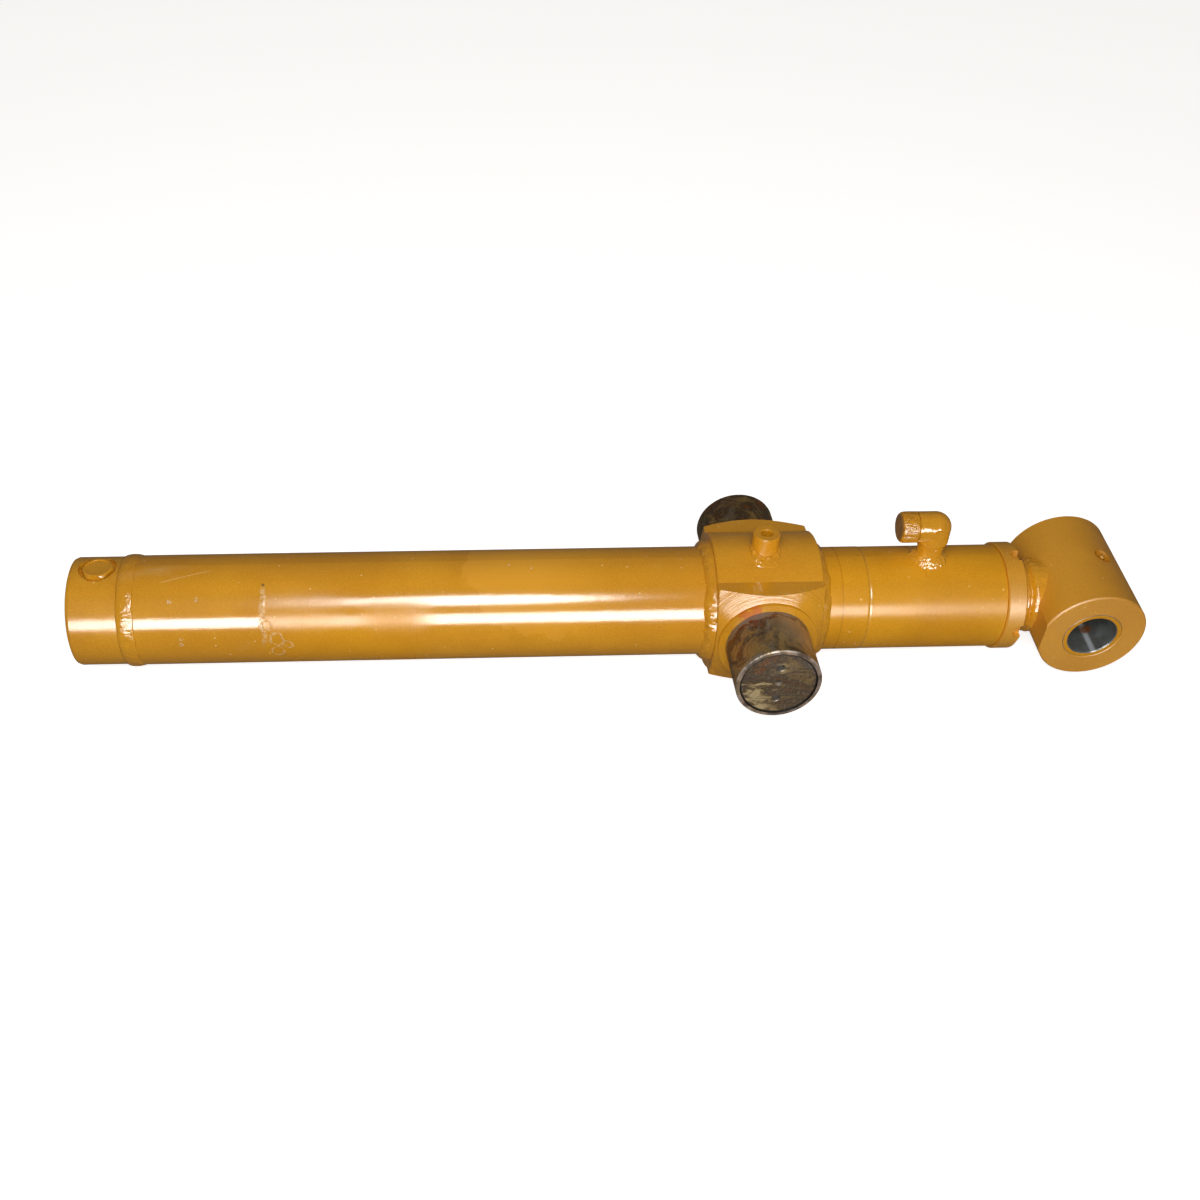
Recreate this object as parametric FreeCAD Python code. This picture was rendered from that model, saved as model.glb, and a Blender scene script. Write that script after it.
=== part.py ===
import FreeCAD, Part

import math
import os

os.makedirs("parts", exist_ok=True)

V = FreeCAD.Vector
AXIS_X = V(1, 0, 0)
AXIS_Y = V(0, 1, 0)
AXIS_Z = V(0, 0, 1)
ORIGIN = V(0, 0, 0)

# Hydraulic cylinder with a trunnion mount, shown retracted. Millimetres.
# X is the cylinder's axis and points to the rod end, Y is the trunnion's axis, Z is up.
# The origin is where the two axes cross.

# Barrel
BORE_D = 107.95             # 4.25 in bore
TUBE_D = 133.35             # 5.25 in tube, as drawn, behind the trunnion
TURNED_D = 127.0            # the tube is turned down from the trunnion to the rod end
JOINT_X = -759.4            # where the tube meets the base cap
TUBE_END_X = 293.9          # open end, which the gland screws into
SHOULDER_X = -61.2          # the trunnion is pushed up against this shoulder
ROOT_R = 60.0               # bottom of the weld groove between tube and cap
BEVEL = 7.0                 # half the weld groove's width at the surface
SEAL_BORE_D = 110.0         # counterbore for the gland's static seal
THREAD_BORE_D = 112.0       # gland thread
SEAL_BORE_X = 217.0
THREAD_BORE_X = 252.0
RELIEF_X = 92.5             # fine turned groove
RELIEF_W = 1.2
RELIEF_DEPTH = 0.4
BASE_WELD_HALF = 10.2       # the weld between tube and cap
BASE_WELD_CROWN_R = 68.6
STEP_X = 124.4              # where the finishing cut starts, down a short cone
STEP_LENGTH = 3.0
STEP_DEPTH = 0.25

# Base cap
CAP_D = 131.3
CAP_END_X = -829.0
CAP_CORNER = 4.5
SPIGOT_END_X = -735.0
SPIGOT_GAP = 0.05
NUT_RECESS_D = 78.0
NUT_RECESS_X = -768.0
PORT_X = -795.0
PORT_THREAD_D = 33.3        # 1 5/16 in straight thread port
PORT_THREAD_DEPTH = 24.0
PORT_DRILL_D = 20.0
SPOTFACE_D = 45.0
SPOTFACE_Z = 58.5

# Base port plug
PLUG_AF = 34.9
PLUG_HEAD_H = 7.6
PLUG_SHANK_H = 17.0
PLUG_DISH_D = 29.5
PLUG_DISH_DEPTH = 0.9
PLUG_O_RING = 2.4

# Trunnion
BLOCK_X0 = SHOULDER_X
BLOCK_X1 = 65.3
CROWN_R = 83.8              # crowns above and below the tube
LEDGE_Z = 66.1              # flat ledges beside the crowns
CONE_Y = 77.3               # conical front and back at the height of the ledge
CONE_SLOPE = math.tan(math.radians(30.0))
CONE_BAR_R = 130.0          # the cones start beyond the block's corners
COLLAR_R = 58.8
COLLAR_Y = 86.6
PIN_R = 50.0
PIN_END_Y = 158.0
STUB_R = 44.0
STUB_RECESS = 1.6
BLOCK_GAP = 0.05
BLOCK_EDGE = 0.8            # broken edges
DOG_HOLE_D = 9.0
DOG_HOLE_Z = 23.0
DOG_HOLE_DEPTH = 9.0
DOG_HOLE_RIM = 1.0          # chamfer round the hole
CENTRE_DRILL_D = 5.0
CENTRE_DRILL_DEPTH = 10.0
CENTRE_SINK_D = 9.5
WELD_LEG_REAR = 13.0
WELD_LEG_FRONT = 12.0
WELD_RISE = 9.5

# Clamp boss on the crown
BOSS_Y = -8.0
BOSS_D = 32.0
BOSS_TOP_Z = 106.2
BOSS_HOLE_D = 13.8          # M16 thread, minor diameter
BOSS_HOLE_DEPTH = 20.0
BOSS_WELD_FOOT_Z = 72.0     # below the crown, so that the fillet is trimmed to it
BOSS_WELD_TOP_Z = 91.0
BOSS_WELD_SIDE_Z = 86.5
BOSS_WELD_REACH = 31.0      # the fillet's reach before and behind the boss
BOSS_WELD_NARROW = 0.62
BOSS_WELD_SIDE_R = 22.5

# Rod end port elbow
ELBOW_X = 204.0
ELBOW_Z = 105.8
ELBOW_R = 18.75
ELBOW_BOTTOM_Z = 84.0
NECK_D = (32.0, 30.0)
NECK_STEP_Z = 79.5
ELBOW_BORE_D = 16.0
LEG_SEAM_X = 181.3
LEG_STUB_D = 30.0
LEG_STUB_X = 164.0
PAD_R = 6.8
PAD_PROUD = 0.5
CAP_SKIN_D = 39.0
CAP_LEFT_X = 160.0
CAP_EDGE = 5.0
CAP_WALL = 3.0
PORT_WELD_R = 23.3
PORT_WELD_TOP_Z = 73.0
PORT_WELD_WAIST_Z = 67.5
PORT_WELD_FOOT_Z = 61.0
PORT_FOOT_Z = 52.0          # below the tube's surface, so that neck and weld are trimmed to it
WELD_BULGE = 0.68           # how far along its rise a fillet's crown stands
WELD_LEAN = 0.42            # and how far along its leg

# Gland
GLAND_FLANGE_D = 132.3
GLAND_FACE_X = 316.4
GLAND_NOSE_D = 92.0
GLAND_NOSE_X = 190.0
GLAND_BORE_GAP = 0.4
GLAND_THREAD_GAP = 0.1
SLOT_W = 17.5
SLOT_DEPTH = 8.0
SLOT_LENGTH = 12.5
SLOT_COUNT = 4
SLOT_ANGLE = -5.0           # the first slot, from the top towards the front
ROD_GROOVES = {             # start, width and depth of the grooves in the gland's bore
    "rod_wear_ring_inner": (196.0, 19.2, 3.0),
    "rod_wear_ring_outer": (224.0, 19.2, 3.0),
    "buffer_seal": (252.0, 7.2, 6.0),
    "rod_seal": (268.0, 11.2, 7.0),
    "wiper": (304.5, 8.2, 6.5),
}
STATIC_GROOVE_X = 226.0     # outside groove for the O-ring and its backup ring
STATIC_GROOVE_W = 7.0
STATIC_GROOVE_DEPTH = 3.4
BACKUP_W = 1.6

# Rod, piston and rings
ROD_D = 69.85               # 2.75 in rod
STROKE = 838.2              # 33 in stroke
PISTON_L = 85.0
PISTON_D = 106.8
PISTON_FRONT_X = GLAND_NOSE_X - STROKE
PISTON_REAR_X = PISTON_FRONT_X - PISTON_L
SPIGOT_D = 44.45
ROD_TAIL_X = -766.0
NUT_AF = 63.5
NUT_L = 30.0
RUN_GAP = 0.05              # running fits of rings and seals
SIDE_GAP = 0.1
WEAR_RING_W = 19.0
WEAR_RING_T = 3.0
WEAR_RING_INSET = 6.0       # from the piston's end to the ring's groove
WEAR_RING_CUT = 3.0
SEAL_W = 12.0
SEAL_T = 6.5
SLIPPER_SHARE = 0.42        # the slipper ring's share of the seal's thickness
WEAR_GROOVE_W = WEAR_RING_W + 2 * SIDE_GAP
WEAR_GROOVES_X = (
    PISTON_REAR_X + WEAR_RING_INSET,
    PISTON_FRONT_X - WEAR_RING_INSET - WEAR_GROOVE_W,
)
SEAL_GROOVE_X = (PISTON_REAR_X + PISTON_FRONT_X - SEAL_W) / 2 - SIDE_GAP
PISTON_O_RING = 2.5
PISTON_O_RING_X = PISTON_FRONT_X - 12.0
PISTON_O_GROOVE_W = 4.0

# Rod eye
EYE_X = 398.8
EYE_D = 127.0
EYE_L = 152.4
EYE_FLAT_X = 338.5          # flat that the rod is welded to
BUSH_D = 69.85
PIN_BORE_D = 57.15          # 2.25 in pin
BUSH_RECESS = 0.4
BUSH_CHAMFER = 1.2
ROD_ANGLE = 4.8             # how far the rod stands turned about its own axis
GREASE_ANGLE = 20.0         # the fitting leans this far from the top, away from the barrel
GREASE_Y = 3.0
GREASE_SINK_D = 22.0
GREASE_SINK_DEPTH = 11.0
GREASE_HOLE_D = 6.0
GREASE_THREAD_D = 6.35
GREASE_HEX_AF = 9.5
GREASE_HEX_H = 4.0
GREASE_NECK_R = 2.4
GREASE_HEAD_R = 3.4
GREASE_HEAD_H = 8.6
GREASE_BALL_R = 1.5
EYE_WELD_R = (43.5, 46.5)
EYE_WELD_START_X = 321.0
EYE_WELD_FIRST_X = 325.2
EYE_WELD_VALLEY_X = 331.0
EYE_WELD_SECOND_X = 336.0
EYE_WELD_END_X = 358.0
EYE_WELD_SINK = 8.0         # inside the rod's surface, so that the weld is trimmed to it


def save(name, shape):
    shape.exportStep("parts/" + name + ".step")


def cyl(radius, start, direction, length):
    return Part.makeCylinder(radius, length, start, direction)


def cyl_x(radius, x0, x1):
    return cyl(radius, V(x0, 0, 0), AXIS_X, x1 - x0)


def closed_face(points):
    return Part.Face(Part.makePolygon(points + [points[0]]))


def turn_x(profile):
    """Turn a closed (x, radius) outline about the cylinder's axis."""
    face = closed_face([V(x, 0, r) for x, r in profile])
    return face.revolve(ORIGIN, AXIS_X, 360)


def turn_z(profile, x=0.0, y=0.0):
    """Turn a closed (radius, z) outline about an upright axis."""
    face = closed_face([V(x + r, y, z) for r, z in profile])
    return face.revolve(V(x, y, 0), AXIS_Z, 360)


def ring_x(outer_r, inner_r, x0, x1):
    return cyl_x(outer_r, x0, x1).cut(cyl_x(inner_r, x0 - 1, x1 + 1))


def o_ring_x(inner_r, section, x):
    """An O-ring about the cylinder's axis, by its inside radius."""
    return Part.makeTorus(inner_r + section / 2, section / 2, V(x, 0, 0), AXIS_X)


def hex_prism(across_flats, start, direction, length):
    corner = across_flats / math.sqrt(3)
    turn = FreeCAD.Rotation(AXIS_Z, direction)
    angles = [math.radians(60 * i) for i in range(6)]
    flat = [V(corner * math.cos(a), corner * math.sin(a), 0) for a in angles]
    face = closed_face([start + turn.multVec(p) for p in flat])
    return face.extrude(direction * length)


def arc_bead_x(start, crown, end, inside):
    """A weld bead turned about X: an arc through three (x, r) points, closed through inside."""
    arc = Part.Arc(V(start[0], 0, start[1]), V(crown[0], 0, crown[1]), V(end[0], 0, end[1]))
    lines = [end] + inside + [start]
    path = Part.makePolygon([V(x, 0, r) for x, r in lines])
    wire = Part.Wire([arc.toShape()] + path.Edges)
    return Part.Face(wire).revolve(ORIGIN, AXIS_X, 360)


def turned(shape):
    """Turn a piece of the rod to the angle at which the rod stands."""
    shape = shape.copy()
    shape.rotate(ORIGIN, AXIS_X, ROD_ANGLE)
    return shape


def mirror_y(shape):
    return shape.mirror(ORIGIN, AXIS_Y)


# Barrel tube, with its weld bevel, shoulder, counterbores and port hole

def barrel_tube():
    bore_r = BORE_D / 2
    turned_r = TURNED_D / 2
    finish_r = turned_r - STEP_DEPTH
    outline = [
        (JOINT_X, bore_r),
        (JOINT_X, ROOT_R),
        (JOINT_X + BEVEL, TUBE_D / 2),
        (SHOULDER_X, TUBE_D / 2),
        (SHOULDER_X, turned_r),
        (RELIEF_X, turned_r),
        (RELIEF_X, turned_r - RELIEF_DEPTH),
        (RELIEF_X + RELIEF_W, turned_r - RELIEF_DEPTH),
        (RELIEF_X + RELIEF_W, turned_r),
        (STEP_X, turned_r),
        (STEP_X + STEP_LENGTH, finish_r),
        (TUBE_END_X - 1, finish_r),
        (TUBE_END_X, finish_r - 1),
        (TUBE_END_X, THREAD_BORE_D / 2),
        (THREAD_BORE_X, THREAD_BORE_D / 2),
        (THREAD_BORE_X, SEAL_BORE_D / 2),
        (SEAL_BORE_X, SEAL_BORE_D / 2),
        (SEAL_BORE_X - 3, bore_r),
    ]
    port = cyl(ELBOW_BORE_D / 2, V(ELBOW_X, 0, 0), AXIS_Z, TUBE_D)
    return turn_x(outline).cut(port)


# Base cap, with the spigot, the nut's recess and the port

def base_cap():
    r = CAP_D / 2
    spigot_r = BORE_D / 2 - SPIGOT_GAP
    outline = [
        (CAP_END_X, 0),
        (CAP_END_X, r - CAP_CORNER),
        (CAP_END_X + CAP_CORNER * 0.3, r - CAP_CORNER * 0.3),
        (CAP_END_X + CAP_CORNER, r),
        (JOINT_X - BEVEL, r),
        (JOINT_X, ROOT_R),
        (JOINT_X, spigot_r),
        (SPIGOT_END_X - 1, spigot_r),
        (SPIGOT_END_X, spigot_r - 1),
        (SPIGOT_END_X, NUT_RECESS_D / 2),
        (NUT_RECESS_X, NUT_RECESS_D / 2),
        (NUT_RECESS_X, 0),
    ]
    thread_z = SPOTFACE_Z - PORT_THREAD_DEPTH
    cuts = [
        cyl(SPOTFACE_D / 2, V(PORT_X, 0, SPOTFACE_Z), AXIS_Z, CAP_D),
        cyl(PORT_THREAD_D / 2, V(PORT_X, 0, thread_z), AXIS_Z, CAP_D),
        cyl(PORT_DRILL_D / 2, V(PORT_X, 0, 0), AXIS_Z, CAP_D),
        cyl_x(PORT_DRILL_D / 2, PORT_X, NUT_RECESS_X + 1),
        Part.makeSphere(PORT_DRILL_D / 2, V(PORT_X, 0, 0)),
    ]
    cap = turn_x(outline)
    for tool in cuts:
        cap = cap.cut(tool)
    return cap


def base_weld():
    start = (JOINT_X - BASE_WELD_HALF, CAP_D / 2)
    crown = (JOINT_X, BASE_WELD_CROWN_R)
    end = (JOINT_X + BASE_WELD_HALF, TUBE_D / 2)
    inside = [(JOINT_X + BEVEL, TUBE_D / 2), (JOINT_X, ROOT_R), (JOINT_X - BEVEL, CAP_D / 2)]
    return arc_bead_x(start, crown, end, inside)


# Port plug: a hexagon head with a rounded-off top and a shallow dish

def base_port_plug():
    seat = V(PORT_X, 0, SPOTFACE_Z)
    top_z = SPOTFACE_Z + PLUG_HEAD_H
    head = hex_prism(PLUG_AF, seat, AXIS_Z, PLUG_HEAD_H)
    rounding = turn_z([
        (0, SPOTFACE_Z),
        (PLUG_AF * 0.56, SPOTFACE_Z),
        (PLUG_AF * 0.56, top_z - 3.2),
        (PLUG_AF / 2 + 0.4, top_z - 1.1),
        (PLUG_AF / 2 - 1.2, top_z),
        (0, top_z),
    ], PORT_X)
    dish = cyl(PLUG_DISH_D / 2, V(PORT_X, 0, top_z - PLUG_DISH_DEPTH), AXIS_Z, PLUG_HEAD_H)
    groove_r = PORT_THREAD_D / 2 - PLUG_O_RING * 0.8
    shank = turn_z([
        (0, SPOTFACE_Z - PLUG_SHANK_H),
        (PORT_THREAD_D / 2 - 1.5, SPOTFACE_Z - PLUG_SHANK_H),
        (PORT_THREAD_D / 2 - 0.1, SPOTFACE_Z - PLUG_SHANK_H + 1.4),
        (PORT_THREAD_D / 2 - 0.1, SPOTFACE_Z - PLUG_O_RING - 0.4),
        (groove_r, SPOTFACE_Z - PLUG_O_RING - 0.4),
        (groove_r, SPOTFACE_Z + 0.5),
        (0, SPOTFACE_Z + 0.5),
    ], PORT_X)
    return head.common(rounding).cut(dish).fuse(shank).removeSplitter()


def plug_o_ring():
    groove_r = PORT_THREAD_D / 2 - PLUG_O_RING * 0.8
    section = PORT_THREAD_D / 2 - groove_r - 0.1
    centre = V(PORT_X, 0, SPOTFACE_Z - PLUG_O_RING / 2)
    return Part.makeTorus(groove_r + section / 2, section / 2, centre, AXIS_Z)


# Trunnion: a block bored for the tube, crowned above and below, coned at the front and back

def cone_y_at(radius):
    return CONE_Y - CONE_SLOPE * (radius - LEDGE_Z)


def stub_end(side):
    """The stub with its two dog holes and its centre drill. side is 1 or -1."""
    out = V(0, side, 0)
    end_y = PIN_END_Y - STUB_RECESS
    stub = cyl(STUB_R, ORIGIN, out, end_y)
    for z in (-DOG_HOLE_Z, DOG_HOLE_Z):
        stub = stub.cut(cyl(DOG_HOLE_D / 2, V(0, side * (end_y - DOG_HOLE_DEPTH), z), out, PIN_END_Y))
        rim_at = V(0, side * (end_y - DOG_HOLE_RIM), z)
        rim = Part.makeCone(DOG_HOLE_D / 2, DOG_HOLE_D / 2 + DOG_HOLE_RIM, DOG_HOLE_RIM, rim_at, out)
        stub = stub.cut(rim)
    drill_r = CENTRE_DRILL_D / 2
    drill = cyl(drill_r, V(0, side * (end_y - CENTRE_DRILL_DEPTH), 0), out, PIN_END_Y)
    sink_h = (CENTRE_SINK_D - CENTRE_DRILL_D) / 2 / math.tan(math.radians(30))
    sink = Part.makeCone(drill_r, CENTRE_SINK_D / 2, sink_h, V(0, side * (end_y - sink_h), 0), out)
    return stub.cut(drill).cut(sink)


def block_slab():
    """A slab between the ledges, as long as the block and wider than it."""
    corner = V(BLOCK_X0, -PIN_END_Y, -LEDGE_Z)
    return Part.makeBox(BLOCK_X1 - BLOCK_X0, 2 * PIN_END_Y, 2 * LEDGE_Z, corner)


def coned_bar():
    """A round bar about the trunnion's axis with a cone at each end."""
    wide_y = cone_y_at(CONE_BAR_R)
    nose_r = COLLAR_R - 5
    cone = Part.makeCone(CONE_BAR_R, nose_r, cone_y_at(nose_r) - wide_y, V(0, wide_y, 0), AXIS_Y)
    half = cone.fuse(cyl(CONE_BAR_R, ORIGIN, AXIS_Y, wide_y))
    return half.fuse(mirror_y(half))


def outer_end_edges(block):
    """The edges round the block's two end faces."""
    found = []
    for edge in block.Edges:
        ends_x = {round(vertex.X, 3) for vertex in edge.Vertexes}
        middle = edge.valueAt((edge.FirstParameter + edge.LastParameter) / 2)
        on_end = min(abs(middle.x - BLOCK_X0), abs(middle.x - BLOCK_X1)) < 0.001
        if on_end and len(ends_x) == 1:
            found.append(edge)
    return found


def trunnion_body():
    block = block_slab().common(coned_bar())
    block = block.fuse(cyl_x(CROWN_R, BLOCK_X0, BLOCK_X1).cut(block_slab())).removeSplitter()
    block = block.makeChamfer(BLOCK_EDGE, outer_end_edges(block))
    for side in (1, -1):
        block = block.fuse(cyl(COLLAR_R, ORIGIN, V(0, side, 0), COLLAR_Y))
        block = block.fuse(stub_end(side))
    bore = cyl_x(TURNED_D / 2 + BLOCK_GAP, BLOCK_X0 - 1, BLOCK_X1 + 1)
    return block.cut(bore).removeSplitter()


def trunnion_sleeve():
    """Hardened sleeve pressed over the stub, against the collar."""
    edge = 1.2
    profile = [
        (STUB_R, COLLAR_Y),
        (PIN_R, COLLAR_Y),
        (PIN_R, PIN_END_Y - edge),
        (PIN_R - edge, PIN_END_Y),
        (STUB_R + edge / 2, PIN_END_Y),
        (STUB_R, PIN_END_Y - edge / 2),
    ]
    face = closed_face([V(0, y, r) for r, y in profile])
    return face.revolve(ORIGIN, AXIS_Y, 360)


def trunnion_weld_rear():
    r = TUBE_D / 2
    corner = (BLOCK_X0, r)
    crown = (BLOCK_X0 - WELD_LEG_REAR * WELD_LEAN, r + WELD_RISE * WELD_BULGE)
    return arc_bead_x((BLOCK_X0 - WELD_LEG_REAR, r), crown, (BLOCK_X0, r + WELD_RISE), [corner])


def trunnion_weld_front():
    r = TURNED_D / 2 + BLOCK_GAP
    corner = (BLOCK_X1, r)
    crown = (BLOCK_X1 + WELD_LEG_FRONT * WELD_LEAN, r + WELD_RISE * WELD_BULGE)
    return arc_bead_x((BLOCK_X1 + WELD_LEG_FRONT, r), crown, (BLOCK_X1, r + WELD_RISE), [corner])


# Clamp boss: a tapped round boss, shaped to the crown and welded round its foot

def clamp_boss():
    edge = 1.0
    foot_z = 70.0
    r = BOSS_D / 2
    hole_r = BOSS_HOLE_D / 2
    boss = turn_z([
        (0, foot_z),
        (r, foot_z),
        (r, BOSS_TOP_Z - edge),
        (r - edge, BOSS_TOP_Z),
        (hole_r + edge, BOSS_TOP_Z),
        (hole_r, BOSS_TOP_Z - edge),
        (hole_r, BOSS_TOP_Z - BOSS_HOLE_DEPTH),
        (0, BOSS_TOP_Z - BOSS_HOLE_DEPTH - 3),
    ], 0, BOSS_Y)
    return boss.cut(cyl_x(CROWN_R, BLOCK_X0, BLOCK_X1))


def clamp_boss_weld():
    """The fillet is wide before and behind the boss, where the crown falls away, and thin beside it."""
    squash = FreeCAD.Matrix()
    squash.scale(V(BOSS_WELD_NARROW, 1, 1))
    height = BOSS_WELD_TOP_Z - BOSS_WELD_FOOT_Z
    foot = V(0, 0, BOSS_WELD_FOOT_Z)
    fillet = Part.makeCone(BOSS_WELD_REACH, BOSS_D / 2 - 0.5, height, foot, AXIS_Z)
    weld = fillet.transformGeometry(squash)
    side_h = BOSS_WELD_SIDE_Z - BOSS_WELD_FOOT_Z
    weld = weld.fuse(Part.makeCone(BOSS_WELD_SIDE_R, BOSS_D / 2 - 0.5, side_h, foot, AXIS_Z))
    weld.translate(V(0, BOSS_Y, 0))
    weld = weld.cut(cyl_x(CROWN_R, BLOCK_X0, BLOCK_X1))
    return weld.cut(cyl(BOSS_D / 2, V(0, BOSS_Y, BOSS_WELD_FOOT_Z - 1), AXIS_Z, BOSS_TOP_Z))


# Rod end port: a forged elbow welded over the port hole, its threaded leg closed by a push-on cap

def port_elbow():
    centre = V(ELBOW_X, 0, ELBOW_Z)
    body = Part.makeSphere(ELBOW_R, centre)
    body = body.fuse(cyl(ELBOW_R, centre, V(-1, 0, 0), ELBOW_X - LEG_SEAM_X))
    body = body.fuse(cyl(LEG_STUB_D / 2, centre, V(-1, 0, 0), ELBOW_X - LEG_STUB_X))
    shoulder_z = ELBOW_BOTTOM_Z + 4
    column = turn_z([
        (0, ELBOW_Z),
        (ELBOW_R, ELBOW_Z),
        (ELBOW_R, shoulder_z),
        (ELBOW_R - 1.2, shoulder_z - 3),
        (NECK_D[0] / 2 + 0.4, ELBOW_BOTTOM_Z),
        (NECK_D[0] / 2, ELBOW_BOTTOM_Z - 0.6),
        (NECK_D[0] / 2, NECK_STEP_Z),
        (NECK_D[1] / 2, NECK_STEP_Z - 0.8),
        (NECK_D[1] / 2, PORT_FOOT_Z),
        (0, PORT_FOOT_Z),
    ], ELBOW_X)
    body = body.fuse(column)
    pad = cyl(PAD_R, V(ELBOW_X, 0, ELBOW_Z), V(0, -1, 0), ELBOW_R + PAD_PROUD)
    body = body.fuse(pad)
    body = body.cut(cyl_x(TURNED_D / 2, ELBOW_X - 60, ELBOW_X + 60))
    bore_r = ELBOW_BORE_D / 2
    body = body.cut(cyl(bore_r, centre, V(0, 0, -1), ELBOW_Z))
    body = body.cut(cyl(bore_r, centre, V(-1, 0, 0), ELBOW_X))
    return body.cut(Part.makeSphere(bore_r, centre)).removeSplitter()


def elbow_weld():
    r = NECK_D[1] / 2
    top = V(r, 0, PORT_WELD_TOP_Z)
    waist = V(r + (PORT_WELD_R - r) * WELD_BULGE, 0, PORT_WELD_WAIST_Z)
    foot = V(PORT_WELD_R, 0, PORT_WELD_FOOT_Z)
    sunk = [V(PORT_WELD_R, 0, PORT_FOOT_Z), V(r, 0, PORT_FOOT_Z)]
    path = Part.makePolygon([foot] + sunk + [top])
    face = Part.Face(Part.Wire([Part.Arc(top, waist, foot).toShape()] + path.Edges))
    face.translate(V(ELBOW_X, 0, 0))
    weld = face.revolve(V(ELBOW_X, 0, 0), AXIS_Z, 360)
    return weld.cut(cyl_x(TURNED_D / 2, ELBOW_X - 60, ELBOW_X + 60))


def elbow_cap():
    r = CAP_SKIN_D / 2
    outline = [
        (LEG_SEAM_X - 0.3, LEG_STUB_D / 2 + 0.05),
        (LEG_SEAM_X - 0.3, r - 1),
        (LEG_SEAM_X - 1.3, r),
        (CAP_LEFT_X + CAP_EDGE, r),
        (CAP_LEFT_X + CAP_EDGE * 0.3, r - CAP_EDGE * 0.3),
        (CAP_LEFT_X, r - CAP_EDGE),
        (CAP_LEFT_X, 0),
        (CAP_LEFT_X + CAP_WALL, 0),
        (CAP_LEFT_X + CAP_WALL, LEG_STUB_D / 2 + 0.05),
    ]
    cap = turn_x(outline)
    cap.translate(V(0, 0, ELBOW_Z))
    return cap


# Gland: flange with spanner slots, thread, static seal land and the nose that stops the piston

def rod_groove_cut(name):
    x0, width, depth = ROD_GROOVES[name]
    rod_r = ROD_D / 2
    return ring_x(rod_r + GLAND_BORE_GAP + depth, rod_r, x0, x0 + width)


def gland():
    flange_r = GLAND_FLANGE_D / 2
    thread_r = THREAD_BORE_D / 2 - GLAND_THREAD_GAP
    land_r = SEAL_BORE_D / 2 - RUN_GAP
    bore_r = ROD_D / 2 + GLAND_BORE_GAP
    relief_r = land_r - 1.5
    outline = [
        (GLAND_NOSE_X, bore_r + 1),
        (GLAND_NOSE_X, GLAND_NOSE_D / 2 - 2),
        (GLAND_NOSE_X + 2, GLAND_NOSE_D / 2),
        (SEAL_BORE_X + 2, GLAND_NOSE_D / 2),
        (SEAL_BORE_X + 2, land_r - 1.5),
        (SEAL_BORE_X + 4, land_r),
        (THREAD_BORE_X - 4, land_r),
        (THREAD_BORE_X - 4, relief_r),
        (THREAD_BORE_X + 1, relief_r),
        (THREAD_BORE_X + 3, thread_r),
        (TUBE_END_X - 4, thread_r),
        (TUBE_END_X - 4, relief_r),
        (TUBE_END_X, relief_r),
        (TUBE_END_X, flange_r - 1.4),
        (TUBE_END_X + 1.4, flange_r),
        (GLAND_FACE_X - 1.6, flange_r),
        (GLAND_FACE_X, flange_r - 1.6),
        (GLAND_FACE_X, bore_r + 1),
        (GLAND_FACE_X - 1, bore_r),
        (GLAND_NOSE_X + 1, bore_r),
    ]
    body = turn_x(outline)
    for name in ROD_GROOVES:
        body = body.cut(rod_groove_cut(name))
    body = body.cut(ring_x(land_r + 2, land_r - STATIC_GROOVE_DEPTH,
                           STATIC_GROOVE_X, STATIC_GROOVE_X + STATIC_GROOVE_W))
    for i in range(SLOT_COUNT):
        body = body.cut(spanner_slot(SLOT_ANGLE - i * 360.0 / SLOT_COUNT))
    return body


def spanner_slot(angle):
    """An open slot in the flange's rim, round at its inner end."""
    floor_r = GLAND_FLANGE_D / 2 - SLOT_DEPTH
    round_x = GLAND_FACE_X - SLOT_LENGTH + SLOT_W / 2
    box = Part.makeBox(2 * SLOT_LENGTH, SLOT_W, 40, V(round_x, -SLOT_W / 2, floor_r))
    end = cyl(SLOT_W / 2, V(round_x, 0, floor_r), AXIS_Z, 40)
    slot = box.fuse(end)
    slot.rotate(ORIGIN, AXIS_X, -angle)
    return slot


def rod_ring(name):
    """A seal or wear ring that fills its groove and runs on the rod."""
    x0, width, depth = ROD_GROOVES[name]
    outer = ROD_D / 2 + GLAND_BORE_GAP + depth - RUN_GAP
    inner = ROD_D / 2 + RUN_GAP
    ring = ring_x(outer, inner, x0 + SIDE_GAP, x0 + width - SIDE_GAP)
    if "wear" in name:
        return ring
    lip_x = x0 + width * 0.55
    mouth = ring_x(inner + depth * 0.55, inner + depth * 0.35, x0 - 1, lip_x)
    return ring.cut(mouth)


def wiper():
    """Double lip wiper, with its outer lip standing just out of the gland's face."""
    x0, width, depth = ROD_GROOVES["wiper"]
    inner = ROD_D / 2 + RUN_GAP
    outer = ROD_D / 2 + GLAND_BORE_GAP + depth - RUN_GAP
    x1 = x0 + width - SIDE_GAP
    bore_r = ROD_D / 2 + GLAND_BORE_GAP
    return turn_x([
        (x0 + SIDE_GAP, inner + 1.6),
        (x0 + SIDE_GAP, outer),
        (x1, outer),
        (x1, bore_r - 0.05),
        (GLAND_FACE_X + 1.5, bore_r - 0.1),
        (GLAND_FACE_X + 1.9, inner),
        (GLAND_FACE_X + 1.0, inner),
        (x1 - 1, inner + 0.15),
        (x0 + SIDE_GAP + 2.5, inner),
    ])


def gland_o_ring():
    floor_r = SEAL_BORE_D / 2 - RUN_GAP - STATIC_GROOVE_DEPTH
    section = STATIC_GROOVE_DEPTH
    return o_ring_x(floor_r, section, STATIC_GROOVE_X + SIDE_GAP + section / 2)


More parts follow.
